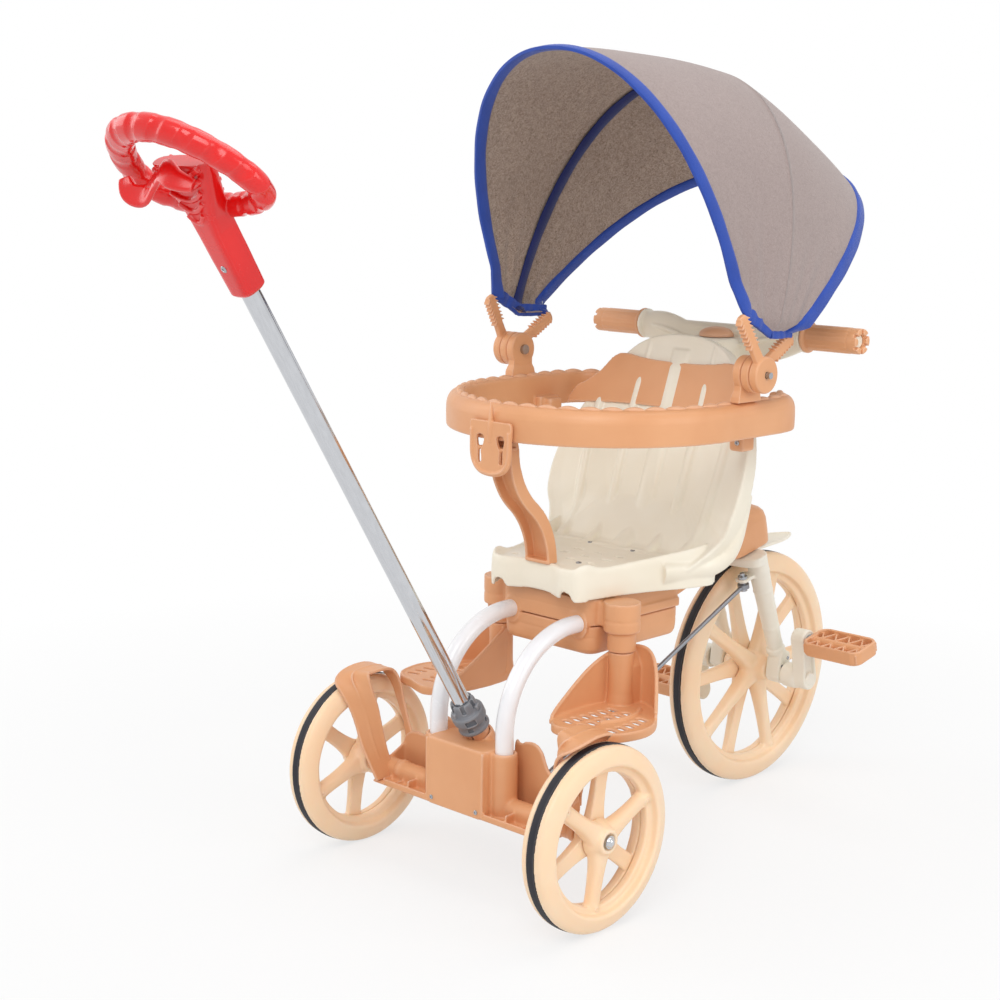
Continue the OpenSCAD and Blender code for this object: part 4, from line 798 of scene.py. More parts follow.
def make_canopy(sizes):
    front = cloth_grid("front", "middle", 4.0, 25, 0.45)
    rear = cloth_grid("middle", "rear", 2.0, 23, 0.6)
    normal = cloth_normals(np.concatenate([front, rear[1:]]))
    panels = {}
    for name, grid, out, cad in (("canopy_front_panel", front, normal[:25], "cover_front"),
                                 ("canopy_rear_panel", rear, normal[24:], "cover_rear")):
        shape, skin = cloth_shape(grid, out, 1.6)
        mesh = mesh_of(name, shape)
        obj = bpy.data.objects.new(name, mesh)
        bpy.context.scene.collection.objects.link(obj)
        for m in (FINISH["cloth"], FINISH["lining"]):
            mesh.materials.append(m)
        for face in mesh.polygons:
            face.use_smooth = True
            face.material_index = 1 if skin <= face.index < 2 * skin else 0
        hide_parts(cad)
        area = sum(f.area for f in mesh.polygons[:skin])
        rows = np.linalg.norm(np.diff(grid, axis=1), axis=2).sum(1).max() / 1000
        deep = np.linalg.norm(np.diff(grid, axis=0), axis=2).sum(0).max() / 1000
        panels[name] = (obj, (round(deep, 3), round(rows, 3)), round(area, 4))

    # the panels' transforms are baked into their meshes
    ends = {"front": ("middle", "front"), "rear": ("rear", "middle")}

    def bend(obj, which):
        """Bends a piece of cloth with the two bows on either side of it."""
        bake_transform(obj)

    bend(panels["canopy_front_panel"][0], "front")
    bend(panels["canopy_rear_panel"][0], "rear")

    # bows, each inside its tape
    tapes = {}
    for which, row, further, out, section, finish in (("front", front[0], front[3], normal[0], BINDING,
            "blue"), ("middle", front[-1], None, normal[24], COVER, "navy"), ("rear", rear[-1], rear[-4],
            normal[-1], [(-a, u) for a, u in BINDING], "blue")):
        if which == "middle":
            wire = mid = row - out * 3.2
        else:
            wire, mid = moved_towards(row, further, 3.0), moved_towards(row, further, 6.5)
        piece(f"canopy_bow_{which}", sweep(wire, disc_section(2.6, 12), up=np.cross(np.gradient(wire, axis=0),
            (1, 0.3, 0.2))), FINISH["steel"], "canopy_" + which, "bow_" + which)
        tapes[which] = taped(f"canopy_{which}_binding", mid, out, section, FINISH[finish], "canopy_" + which)
        if which == "middle":
            continue
        # a row of stitches along the binding's inner edge, on both faces
        line = even_line(moved_towards(row, further, 12.6), 260)
        face = even_line(out, 260)
        way = np.gradient(line, axis=0)
        spots = [(p + f * 2.3 * s, f * s, w) for p, f, w in zip(line[3:-3], face[3:-3], way[3:-3]) for s
            in (-1, 1)]
        repeated(f"canopy_{which}_stitches", block((-1.3, -0.3, -0.2), (1.3, 0.3, 0.35), 0.2, 1), spots,
            FINISH["thread"], "canopy_" + which)

    # hems along the two low edges
    hems = {"front": [], "rear": []}
    for which, grid in (("front", front), ("rear", rear)):
        for side, column, inner, way in (("right", 0, 3, 1.0), ("left", -1, -4, -1.0)):
            line = even_line(moved_towards(grid[:, column], grid[:, inner], 4.5), 24)
            hem = taped(f"canopy_{which}_hem_{side}", line, np.tile((way, 0, 0.1), (24, 1)),
                pill_section(16.0, 5.4, 5.0, 20), FINISH["blue"], "canopy_" + ends[which][0])
            hem.parent = None
            if "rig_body" in hem:
                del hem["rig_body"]
            bend(hem, which)
            hems[which].append(hem)

    for which, held in (("front", [tapes["front"], tapes["middle"], *hems["front"]]),
            ("rear", [tapes["rear"], *hems["rear"]])):
        obj, flat, area = panels[f"canopy_{which}_panel"]
        flat = (max(flat[0], area / flat[1]), flat[1])


# ---------------------------------------------------------------- wheels
# A wheel half is drawn about the X axis: seam at 0, outer face towards +X.


def about_x(shape):
    """A shape about Z becomes one about X, with its height along X and its 0 degrees on Y."""
    p = np.asarray(shape[0], float)
    return np.column_stack([p[:, 2], p[:, 0], p[:, 1]]), shape[1]


def rim_profile(r, opening):
    """Half a rim: a fat round shoulder, a side face, a ledge inside and the wall of the opening."""
    crown = r - 0.6
    outline = [(crown - 6.4, 0.25), (crown - 6.4, 5.75), (crown - 0.2, 5.75), (crown, 6.3)]
    for share in np.linspace(0.12, 1.0, 12):
        outline.append((crown - 17.0 * share ** 2.6, 6.3 + 14.5 * share ** 0.85 - 0.5 * share ** 6))
    side = opening + 8.5
    outline += [(crown - 20.5, 20.9), (side + 3.5, 20.9), (side + 1.2, 20.3), (side, 18.8),
        (side - 0.6, 15.0), (side - 0.9, 12.4), (side - 1.8, 11.2), (opening + 2.2, 10.8),
        (opening + 0.7, 10.2), (opening, 8.8), (opening - 0.2, 0.25)]
    return outline


def spoke_shape(root, tip, root_w, tip_w, root_h, tip_h, waist):
    """One spoke along +Y: rounded on top, flared into the hub and the rim."""
    rings = []
    for t in np.linspace(0, 1, 26):
        y = root + (tip - root) * t
        w = root_w + (tip_w - root_w) * t
        w *= 1 - waist * math.sin(math.pi * min(1, t * 1.05)) ** 1.2
        w += 9.0 * math.exp(-t * 9) + 6.0 * math.exp(-(1 - t) * 12)
        h = root_h + (tip_h - root_h) * t ** 0.8
        a = np.linspace(0, math.pi, 19)
        x = h * np.abs(np.sin(a)) ** 0.62
        z = w / 2 * np.sign(np.cos(a)) * np.abs(np.cos(a)) ** 0.72
        ring = np.column_stack([np.maximum(x, 0.3), np.full(19, y), z])
        rings.append(ring)
    return loft(rings)


def wheel_half(r, opening, spokes, phase, face, hub_r, bore, screw_r, recess):
    """Shells of one moulded half, before they are fused."""
    shells = [about_x(turned(rim_profile(r, opening), 144))]
    hub = [(bore, 0.25), (hub_r + 9.5, 0.25), (hub_r + 7.0, face * 0.35), (hub_r + 2.2, face * 0.72),
        (hub_r + 0.6, face - 2.5), (hub_r - 0.8, face - 0.5), (hub_r - 2.5, face), (recess + 0.8, face),
        (recess, face - 0.8), (recess, face - 5.0), (bore, face - 5.2)]
    shells.append(about_x(turned(hub, 64)))
    for i in range(spokes):
        one = spoke_shape(9.0, opening + 7.0, 27.0, 20.0 if spokes == 3 else 19.0, face * 0.80 if spokes == 3
            else face * 0.62, 11.4, 0.16)
        shells.append(moved(one, turn=turn_x(phase + i * 360 / spokes)))
        boss = about_x(turned([(0, 2), (5.2, 2), (5.2, 12.6), (4.4, 13.4), (0, 13.5)], 24))
        shells.append(moved((boss[0] + (0, screw_r, 0), boss[1]), turn=turn_x(phase + i * 360 / spokes)))
    return shells


def make_wheels(sizes):
    screws = screw_head(2.7, 1.1)
    # radius, opening, spokes, face, hub radius, bore, radius of the ring of screws
    rear = (110, 78, 3, 22, 14.5, 5.6, 80)
    front = (165, 128, 5, 36, 14.5, 5.6, 133)
    rear_right, rear_left, middle = (201, 0, REAR_Z), (-201, 0, REAR_Z), (0, FRONT_Y, FRONT_Z)
    halves = (
        # node, body, centre, side, phase of the spokes, sizes
        ("rear_wheel_outer_right", "rear_wheel_right", rear_right, 1, 22, rear),
        ("rear_wheel_inner_right", "rear_wheel_right", rear_right, -1, 82, rear),
        ("rear_wheel_outer_left", "rear_wheel_left", rear_left, -1, 22, rear),
        ("rear_wheel_inner_left", "rear_wheel_left", rear_left, 1, 82, rear),
        ("front_wheel_right", "front_wheel", middle, 1, 1, front),
        ("front_wheel_left", "front_wheel", middle, -1, 37, front),
    )
    for cad, body, centre, way, phase, (r, opening, spokes, face, hub_r, bore, ring) in halves:
        recess = 10.0 if "outer" in cad else 7.0
        shape = joined(*wheel_half(r, opening, spokes, phase, face, hub_r, bore, ring, recess))
        if way < 0:
            shape = mirrored(shape)
        shape = moved(shape, by=centre)
        moulding(cad, shape, "peach", body, fuse=1.5 if r < 150 else 1.8, soften=4)
        spots = []
        for i in range(spokes):
            a = rad(phase + i * 360 / spokes)
            spots.append((np.array(centre) + (way * 13.2, ring * math.cos(a), ring * math.sin(a)),
                (way, 0, 0), (0, math.cos(a), math.sin(a))))
        repeated(cad + "_screws", screws, spots, FINISH["peach"], body,
            replaces="front_wheel_screws" if body == "front_wheel" else ())

    # rubber bands with a bead on each edge
    for cad, body, centre, r in (("rear_wheel_band_left", "rear_wheel_left", rear_left, rear[0]),
            ("rear_wheel_band_right", "rear_wheel_right", rear_right, rear[0]),
            ("front_wheel_band", "front_wheel", middle, front[0])):
        outline = [(r - 6.9, -5.4), (r - 6.9, 5.4), (r - 0.9, 5.4), (r - 0.3, 4.8), (r - 0.2, 3.9),
            (r - 0.1, 2.4), (r, 0), (r - 0.1, -2.4), (r - 0.2, -3.9), (r - 0.3, -4.8), (r - 0.9, -5.4)]
        shape = moved(about_x(turned(outline, 144)), by=centre)
        piece(cad + "_tread", shape, FINISH["rubber"], body, cad)


# ---------------------------------------------------------------- push handle


def on_pole(shape, by=(0, 0, 0)):
    """From the pole's own frame, +Z up the pole, to the working frame."""
    return moved(moved(shape, by=by), by=(0, CUP_Y, CUP_Z), turn=turn_x(POLE_LEAN))


def make_push_handle(sizes):
    # the loop: its two ends are carried up into corners, and its far side is the widest grip
    a = np.linspace(0, 2 * math.pi, 200, endpoint=False)
    up_loop = 61.0 * np.sin(a) + 21.0 * np.abs(np.cos(a)) ** 2.4
    turn = turn_x(180.0 - 37.5)
    line = np.column_stack([92.0 * np.cos(a), -up_loop, 0 * a]) @ turn.T + (0, -406.5, 854.5)
    fine = even_line(np.vstack([line, line[:1]]), 421)[:-1]
    high = (fine[:, 2] - fine[:, 2].min()) / np.ptp(fine[:, 2])

    def grip(t, i):
        """Finger grooves that wind round the tube."""
        b = np.linspace(0, 2 * math.pi, 40, endpoint=False)
        wind = 17 * 2 * math.pi * t + 1.5 * np.cos(b)
        r = 1 - 0.17 * np.clip(np.sin(wind) - 0.1, 0, 1) ** 0.7 * (0.3 + 0.7 * np.cos(b - 2.6) ** 2)
        wide = 12.6 + 3.4 * high[i]
        return np.column_stack([wide * r * np.cos(b), (12.2 + 1.4 * high[i]) * r * np.sin(b)])

    loop = sweep(fine, grip, turn @ np.array([0, 0, 1.0]), closed=True)

    # sleeve: a chamfered oblong that takes the pole and opens into a fan under the loop
    sleeve = [np.column_stack([pill_section(w, d, p, 36), np.full(36, z)]) for z, w, d,
        p in ((647, 27, 27, 3.2), (650, 31, 31, 4.5), (690, 33, 31, 6.0), (722, 35, 31, 6.0),
        (738, 41, 30, 5.0), (752, 52, 28, 4.2), (768, 68, 26, 3.6), (786, 84, 24, 3.2), (800, 92, 22, 3.0))]
    shells = [loop, on_pole(loft(sleeve))]
    # curved ribs across the fan
    for k in range(5):
        half = 12 + 6.2 * k
        for side in (-1, 1):
            arc = [(half * s, side * (15.2 - 0.9 * k), 738 + 12.5 * k + 9 * s * s) for s in np.linspace(-1, 1,
                15)]
            shells.append(on_pole(tube(arc, 3.0, 12, up=(0, 1, 0))))
    # thumb tab: a tongue curled like an S across the throat of the loop
    tongue = smooth_line([(30, -20, 784), (12, -25, 794), (-6, -20, 800), (-22, -22, 792), (-38, -33, 780),
        (-56, -36, 784), (-66, -28, 796)], 50)
    shells.append(on_pole(sweep(tongue, lambda t, i: pill_section(7.5, 13 + 15 * math.sin(math.pi * t) ** 0.7,
        3.5, 20), up=(0, 1, 0.6))))
    moulding("push_handle", joined(*shells), "red", "push_bar", fuse=0.95)
    low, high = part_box("handle_screw")
    at = (np.array(low + high) / 2 - np.array([0, AXLE.y, 0])) * 1000
    axis = turn_x(POLE_LEAN)
    spots = [(at, axis @ (0, -1, 0), axis @ (0, 0, 1))]
    steel_screws("push_handle_screw", 4.0, 1.6, spots, "push_bar", replaces="handle_screw")


# ---------------------------------------------------------------- stage


def make_stage(sizes):
    bm = bmesh.new()
    bmesh.ops.create_circle(bm, cap_ends=True, segments=96, radius=30.0)
    mesh = bpy.data.meshes.new("studio_floor")
    bm.to_mesh(mesh)
    bm.free()
    floor = bpy.data.objects.new("studio_floor", mesh)
    bpy.context.scene.collection.objects.link(floor)
    floor.location.z = -0.0005
    m = bpy.data.materials.new("studio_floor")
    m.use_nodes = True
    t = m.node_tree
    t.nodes.clear()
    matt = node(t, "ShaderNodeBsdfDiffuse", {"Color": (0.82, 0.82, 0.82, 1)})
    white = node(t, "ShaderNodeEmission", {"Color": (1, 1, 1, 1), "Strength": 1.0})
    at = node(t, "ShaderNodeTexCoord").outputs["Object"]
    away = node(t, "ShaderNodeVectorMath", {0: at}, operation="LENGTH").outputs["Value"]
    seen = node(t, "ShaderNodeLightPath")
    watched = summed(t, "MAXIMUM", seen.outputs["Is Camera Ray"], seen.outputs["Is Glossy Ray"])
    watched = summed(t, "MAXIMUM", watched, seen.outputs["Is Transmission Ray"])
    share = summed(t, "MULTIPLY", watched, ranged(t, away, 0.75, 1.5, 0.72, 1.0))
    mix = node(t, "ShaderNodeMixShader", {0: share, 1: matt.outputs[0], 2: white.outputs[0]})
    node(t, "ShaderNodeOutputMaterial", {"Surface": mix.outputs[0]})
    mesh.materials.append(m)

    world = bpy.data.worlds.new("studio")
    bpy.context.scene.world = world
    world.use_nodes = True
    t = world.node_tree
    t.nodes.clear()
    seen = node(t, "ShaderNodeLightPath")
    watched = summed(t, "MAXIMUM", seen.outputs["Is Camera Ray"], seen.outputs["Is Transmission Ray"])
    watched = summed(t, "MAXIMUM", watched, summed(t, "MULTIPLY", seen.outputs["Is Glossy Ray"], 0.8))
    strength = ranged(t, watched, 0.0, 1.0, sizes.ambient, 1.0)
    back = node(t, "ShaderNodeBackground", {"Color": (1, 1, 1, 1), "Strength": strength})
    node(t, "ShaderNodeOutputWorld", {"Surface": back.outputs[0]})

    middle = Vector((0, 0, 0.45))
    for name, place, size, power in (("key_lamp", (1.6, -2.6, 3.0), 2.2, 62), ("fill_lamp", (-2.8, -1.4, 1.8),
            2.4, 26), ("side_lamp", (3.2, 0.6, 1.6), 2.0, 26), ("top_lamp", (0.0, 0.8, 3.4), 2.6, 34)):
        lamp = bpy.data.lights.new(name, "AREA")
        lamp.energy, lamp.size = power * sizes.lamps, size
        obj = bpy.data.objects.new(name, lamp)
        bpy.context.scene.collection.objects.link(obj)
        obj.location = place
        obj.rotation_euler = (middle - Vector(place)).to_track_quat("-Z", "Y").to_euler()

    camera = bpy.data.cameras.new("camera")
    camera.lens, camera.sensor_width = 65.2, 36.0
    camera.clip_end = 60.0
    obj = bpy.data.objects.new("camera", camera)
    bpy.context.scene.collection.objects.link(obj)
    around, over, roll = rad(44.27), rad(10.48), rad(0.65)
    back = Vector((math.cos(over) * math.sin(around), -math.cos(over) * math.cos(around), math.sin(over)))
    right = Vector((math.cos(around), math.sin(around), 0))
    up = back.cross(right)
    right, up = right * math.cos(roll) + up * math.sin(roll), up * math.cos(roll) - right * math.sin(roll)
    turn = Matrix((right, up, back)).transposed()
    place = Vector((1.4831, AXLE.y - 1.4771, 0.8596))
    obj.matrix_world = Matrix.Translation(place) @ turn.to_4x4()
    bpy.context.scene.camera = obj
    bpy.context.scene.view_settings.view_transform = "Standard"
# ---------------------------------------------------------------- cutting


def cut(shape, cutter):
    """shape with the closed shells of cutter taken out of it."""
    held = []
    for label, item in (("cut_body", shape), ("cut_tool", cutter)):
        obj = bpy.data.objects.new(label, mesh_of(label, item, False))
        bpy.context.scene.collection.objects.link(obj)
        tidied(obj.data)
        held.append(obj)
    body, tool = held
    step_out = body.modifiers.new("cut", "BOOLEAN")
    step_out.operation, step_out.solver, step_out.object = "DIFFERENCE", "EXACT", tool
    step_out.use_self = True
    applied(body)
    out = (np.array([v.co[:] for v in body.data.vertices]), [tuple(f.vertices) for f in body.data.polygons])
    for obj in held:
        bpy.data.objects.remove(obj)
    return out


def slot_shape(a, b, r, low, high, n=12):
    """An upright slot with round ends between two points in plan."""
    a, b = np.asarray(a, float), np.asarray(b, float)
    way = (b - a) / max(np.linalg.norm(b - a), 1e-6)
    side = np.array([-way[1], way[0]])
    t = np.linspace(-math.pi / 2, math.pi / 2, n)
    half = [b + r * (math.cos(q) * way + math.sin(q) * side) for q in t]
    half += [a - r * (math.cos(q) * way + math.sin(q) * side) for q in t]
    return slab(half, low, high)


def upright_slab(outline, y0, y1):
    """An outline (x, z) from y0 to y1."""
    o = np.asarray(outline, float)
    return loft([np.column_stack([o[:, 0], np.full(len(o), y), o[:, 1]]) for y in (y0, y1)])


def rail(path, out, section, z0):
    """An upright section (outwards, up) carried along a path in plan."""
    s = np.asarray(section, float)
    rings = []
    for p, n in zip(np.asarray(path, float), np.asarray(out, float)):
        rings.append(np.column_stack([p[0] + s[:, 0] * n[0], p[1] + s[:, 0] * n[1], z0 + s[:, 1]]))
    return loft(rings)


def outward(path):
    """Normals of a path in plan, to its right."""
    t = np.gradient(np.asarray(path, float), axis=0)
    t /= np.linalg.norm(t, axis=1)[:, None]
    return np.column_stack([t[:, 1], -t[:, 0]])


# ---------------------------------------------------------------- seat

SEAT_Z = 380.0
BACK_Y, BACK_LEAN = 296.0, 19.5
BACK_EDGE = [(124, -10), (134, 8), (146, 30), (155, 62), (158, 95), (154, 130), (143, 162), (127, 193),
    (109, 222), (92, 245), (74, 262), (52, 273), (26, 278.5), (0, 280)]
RIBS = (-104, -52, 0, 52, 104)


def on_back(x, up, off=0.0):
    """A point of the backrest's curved face: x across, up its middle line, off towards the child."""
    a = rad(BACK_LEAN)
    low = np.clip(46 - up, 0, None)
    curl = 24 * np.abs(x / 158) ** 2.6 * np.clip(1.15 - up / 420, 0.4, 1) * np.clip(0.35 + up / 90, 0, 1)
    y = BACK_Y + up * math.sin(a) - low ** 2 / 78 - curl * math.cos(a)
    z = SEAT_Z + up * math.cos(a) - curl * math.sin(a)
    y = y - off * math.cos(a)
    z = z + off * math.sin(a)
    return np.column_stack([x, y, z])


def back_ring(share, off):
    """The backrest's outline drawn in towards its middle by share, off from its face."""
    right = smooth_line(BACK_EDGE, 46)
    left = right[::-1][1:] * (-1, 1)
    edge = np.vstack([right, left])
    foot = np.column_stack([np.linspace(edge[-1, 0], edge[0, 0], 22)[1:-1], np.full(20, edge[0, 1])])
    edge = np.vstack([edge, foot])
    middle = np.array([0.0, 130.0])
    at = middle + (edge - middle) * share
    return on_back(at[:, 0], at[:, 1], off)


def pan_outline():
    """Plan of the pan: a wavy front edge, sides that widen to the back."""
    front = [(-58, 99.5), (-46, 101), (-36, 105), (-24, 110), (-10, 112), (10, 112), (24, 110), (36, 105),
        (46, 101), (58, 99.5)]
    right = [(70, 103), (76, 112), (81, 135), (88, 170), (97, 200), (107, 226), (118, 252), (126, 276),
        (128, 296), (120, 306), (104, 308)]
    return smooth_line(front + right + [(-x, y) for x, y in reversed(right)], 260, closed=True)


def make_seat(sizes):
    plan = pan_outline()
    low = np.full(len(plan), SEAT_Z - 36.0)
    front = plan[:, 1] < 118
    for x in (-56, 56):
        arch = 11.0 ** 2 - (plan[:, 0] - x) ** 2
        low = np.where(front & (arch > 0), low + np.sqrt(np.clip(arch, 0, None)), low)
    low += np.where(front, 3.2 * np.cos(plan[:, 0] / 26.0) * 0.6, 0)

    def ring(inset, z):
        p = grown(plan, -inset)
        return np.column_stack([p, z if isinstance(z, np.ndarray) else np.full(len(p), z)])

    # the rims rise towards the backrest, and stand up at the two front corners
    rise = 16.0 * np.clip((plan[:, 1] - 150) / 130, 0, 1) ** 1.4
    rise += 7.0 * np.exp(-((np.abs(plan[:, 0]) - 77) / 9) ** 2 - ((plan[:, 1] - 116) / 16) ** 2)
    tray = loft([ring(3.8, SEAT_Z - 4.4), ring(3.8, low), ring(0.0, low), ring(-0.6, SEAT_Z - 20),
        ring(0.2, SEAT_Z - 5 + rise * 0.9), ring(1.4, SEAT_Z + 0.6 + rise), ring(3.4, SEAT_Z + 2.6 + rise),
        ring(6.0, SEAT_Z + 2.0 + rise * 0.8), ring(9.0, SEAT_Z + 0.4 + rise * 0.4), ring(13.0, SEAT_Z)])
    holes = [slot_shape((x - 3.5, y), (x + 3.5, y + 0.5), 2.7, SEAT_Z - 12, SEAT_Z + 12) for x
        in (-22, 12, 46) for y in (160, 186, 212)]
    holes += [slot_shape((x, 131), (x + 0.1, 131), 3.6, SEAT_Z - 12, SEAT_Z + 12) for x in (-56, 56)]
    tray = cut(tray, joined(*holes))
    rim = [back_ring(s, o) for s, o in ((0.02, 0.0), (0.5, 0.0), (0.9, 0.0), (0.955, 0.6), (0.98, 1.8),
        (0.995, 1.6), (1.004, 0.2), (1.006, -4.0), (1.002, -12.0), (0.998, -24.0), (0.972, -24.0),
        (0.968, -12.0), (0.955, -5.0), (0.9, -3.6), (0.5, -3.6), (0.02, -3.6))]
    shells = [tray, loft(rim)]
    # round shoulders that carry the pan's sides up into the wings
    shoulder = smooth_line([(101, 226, 366), (114, 262, 366), (127, 292, 368), (138, 310, 380),
        (145, 319, 400), (149, 326, 428), (151, 334, 458)], 60)
    shells.append(both(sweep(shoulder, lambda t, i: pill_section(26 - 15 * t, 30 - 20 * t ** 1.6, 2.3, 24),
        up=(0.2, -0.6, 0.8))))
    # ridges from the pan up the backrest, the middle one broad, with a crease at each foot
    for x in RIBS:
        flare = np.linspace(0, 1, 60)
        line = on_back(x * (0.96 + 0.12 * np.sin(math.pi * np.clip(flare * 0.9, 0, 1))), flare * 268, 1.4)
        lead = [(x * 0.96, y, SEAT_Z + 0.4) for y in np.linspace(244, line[0, 1] - 7, 5)]
        path = smooth_line(np.vstack([lead, line[3::3]]), 90)
        path = path[path[:, 2] < SEAT_Z + 268 * math.cos(rad(BACK_LEAN)) - abs(x) * 0.62]
        ends = np.minimum(np.arange(len(path)), np.arange(len(path))[::-1]) / 7
        high = np.minimum(1, ends)
        wide = 26.0 if x == 0 else 12.0
        shells.append(sweep(path, lambda t, i: pill_section(wide, 1.2 + 8.2 * high[i], 2.0, 20),
            up=(0, -0.7, 0.7)))
        crease = [(x - 4, 256, SEAT_Z + 1), (x - 16, 252, SEAT_Z + 1), (x - 40, 251, SEAT_Z + 0.4)]
        shells.append(sweep(smooth_line(crease, 20), pill_section(4.0, 3.6, 2.2, 12)))
    # the head panel's two seams
    for x in (-54, 54):
        path = on_back(np.full(16, x * 1.0), np.linspace(222, 266, 16), 0.8)
        shells.append(sweep(path, pill_section(3.4, 3.0, 2.4, 12), up=(0, -1, 0.3)))
    moulding("seat", joined(*shells), "cream", "frame", fuse=1.7, soften=3)
    spots = [((x, y, SEAT_Z + 0.6), (0, 0, 1), (0.6, 0.8, 0)) for x in (-36, 36) for y in (147, 250)]
    steel_screws("seat_screws", 3.6, 1.2, spots, replaces="seat_bolts")


# ---------------------------------------------------------------- ring, latch and post

RING_Z, RING_R, RING_Y = 541.0, 197.0, 228.0


def ring_path(count):
    """Outer edge of the ring in plan, from the right back corner round the front to the left one."""
    a = np.linspace(0, -math.pi, 120)
    arc = np.column_stack([RING_R * np.cos(a), RING_Y + RING_R * np.sin(a)])
    right = smooth_line([(147, 403), (163, 398), (179, 386), (191, 366), (196, 342), (197, 312), (197, 270),
        (197, 232)], 60)
    left = right[::-1] * (-1, 1)
    return even_line(np.vstack([right, arc, left]), count)


def make_ring(sizes):
    path = ring_path(420)
    out = -outward(path)
    out *= math.copysign(1, -out[210, 1])
    section = [(-1.0, 0), (0.0, 3), (0.3, 18), (0.0, 31), (-1.6, 38), (-4.6, 43.4), (-8.4, 46.4),
        (-12.5, 47.6), (-17, 47.8), (-20.8, 46.6), (-22.6, 43), (-23, 36), (-23, 14), (-22.4, 0), (-19.4, 0),
        (-19.8, 14), (-19.8, 36), (-17, 43.8), (-12.5, 43.9), (-8.8, 42.4), (-5.2, 38), (-3.2, 30),
        (-3.0, 18), (-3.6, 0)]
    section = [(x, z * 0.91 - 1.5) for x, z in section]
    shells = [rail(path, out, section, RING_Z)]
    # the panel in front of the backrest, between the ring's sides
    right = smooth_line([(158, 176), (158, 190), (150, 203), (136, 211), (120, 224), (108, 240), (98, 247),
        (84, 248), (60, 244), (30, 241.5), (0, 240.5)], 60)
    top = np.vstack([right, right[::-1][1:] * (-1, 1)])
    n = len(top)
    foot = np.column_stack([top[:, 0], np.full(n, 180.0)])
    rings = []
    for t, off in [(t, 1.0) for t in range(10)] + [(9, 5.5)] + [(t, 4.6) for t in range(8, -1, -1)]:
        row = foot + (top - foot) * t / 9
        rings.append(on_back(row[:, 0], row[:, 1], off))
    grid = np.array(rings)
    shells.append(loft([grid[:, k] for k in range(n)]))
    # clips under the ring beside the backrest
    for s in (-1, 1):
        clip = block((s * 160 - 11, 292, RING_Z - 23), (s * 160 + 11, 316, RING_Z + 12), 3.0)
        shells.append(clip)
        shells.append(block((s * 166 - 5, 286, RING_Z - 2), (s * 166 + 5, 322, RING_Z + 14), 2.0))
    ring = joined(*shells)
    moulding("safety_ring", ring, "tan", "frame", fuse=1.7, soften=3)
    # scallops round the inner top edge
    item = []
    for t in np.linspace(0, 1, 13):
        w = 9.5 * math.sin(math.pi * min(1, 0.06 + t * 0.9)) ** 0.6
        h = 8.5 * math.sin(math.pi * min(0.985, 0.03 + t * 0.96)) ** 0.7
        s = pill_section(max(w, 0.6), max(h, 0.5), 2.3, 14)
        item.append(np.column_stack([np.full(14, -13 + 26 * t), s[:, 0] - 3.0 * t, s[:, 1]]))
    scallop = loft(item)
    run = even_line(path[8:-8] + out[8:-8] * -17.5, 36)
    way = np.gradient(run, axis=0)
    spots = [((p[0], p[1], RING_Z + 41.0), (0, 0, 1), (-w[0], -w[1], 0)) for p, w in zip(run, way)]
    repeated("safety_ring_scallops", scallop, spots, FINISH["tan"], "frame")
    spots = [((s * 160 + 2, 291.6, RING_Z - 12), (0, -1, 0), (1, 0, 0)) for s in (-1, 1)]
    steel_screws("safety_ring_screws", 3.4, 1.2, spots)

    # latch plate with two keyholes, hung on the ring's front
    y = RING_Y - RING_R
    plan = smooth_line([(-33, 561), (-33, 540), (-32.5, 522), (-28, 508), (-17, 499.5), (0, 497), (17, 499.5),
        (28, 508), (32.5, 522), (33, 540), (33, 561), (20, 563), (-20, 563)], 120, closed=True)
    plate = upright_slab(plan, y - 5.0, y - 0.6)
    holes = []
    for s in (-1, 1):
        hole = [(s * 11, 545), (s * 21, 546), (s * 22.5, 538), (s * 20.5, 528), (s * 20, 514),
            (s * 16.5, 512.5), (s * 14.5, 516), (s * 15.5, 528), (s * 11.5, 536)]
        holes.append(upright_slab(smooth_line(hole, 44, closed=True), y - 14, y + 6))
    plate = cut(plate, joined(*holes))
    frame_line = [(-30.8, 552), (-30.6, 540), (-30, 523), (-26, 511), (-16, 503), (0, 500.4), (16, 503),
        (26, 511), (30, 523), (30.6, 540), (30.8, 552)]
    rib = tube([(x, y - 5.2, z) for x, z in frame_line], 2.1, 12, 60, up=(0, 1, 0))
    spine = loft([np.column_stack([s[:, 0], y - 3.4 + s[:, 1], np.full(16, z)]) for z,
        s in ((z, pill_section(w, d, 2.4, 16)) for z, w, d in ((538, 9, 5), (548, 8, 7), (558, 6, 8.5),
        (568, 4.4, 6.5), (578, 2.6, 4.6), (587, 0.8, 2.4)))])
    hook = block((-22, y - 3, RING_Z - 13), (22, y + 20, RING_Z - 9), 1.2)
    moulding("ring_latch", joined(plate, rib, spine, hook), "tan", "frame", fuse=0.9)

    # channel post curved like an S
    bend, angle = 95.0, 49.6
    top = np.array([51.0, 526.0])
    t = np.linspace(0, rad(angle), 26)
    one = np.column_stack([top[0] + bend * (1 - np.cos(t)), top[1] - bend * np.sin(t)])
    low = np.array([top[0] + 2 * bend * (1 - math.cos(rad(angle))), top[1] - 2 * bend * math.sin(rad(angle))])
    two = np.column_stack([low[0] - bend * (1 - np.cos(t[::-1])), low[1] + bend * np.sin(t[::-1])])
    side_line = np.vstack([[(top[0] - 3, top[1] + 12)], one, two[1:], [(low[0], SEAT_Z + 0.5)]])
    side_line = even_line(side_line, 70)
    path = np.column_stack([np.zeros(70), side_line])

    def channel(t, i):
        w = 17.5 + 2.5 * t
        d = 8.0
        return [(-d, -w), (d, -w), (d, -w + 3.6), (-d + 3.4, -w + 3.9), (-d + 3.4, w - 3.9), (d, w - 3.6),
            (d, w), (-d, w)]

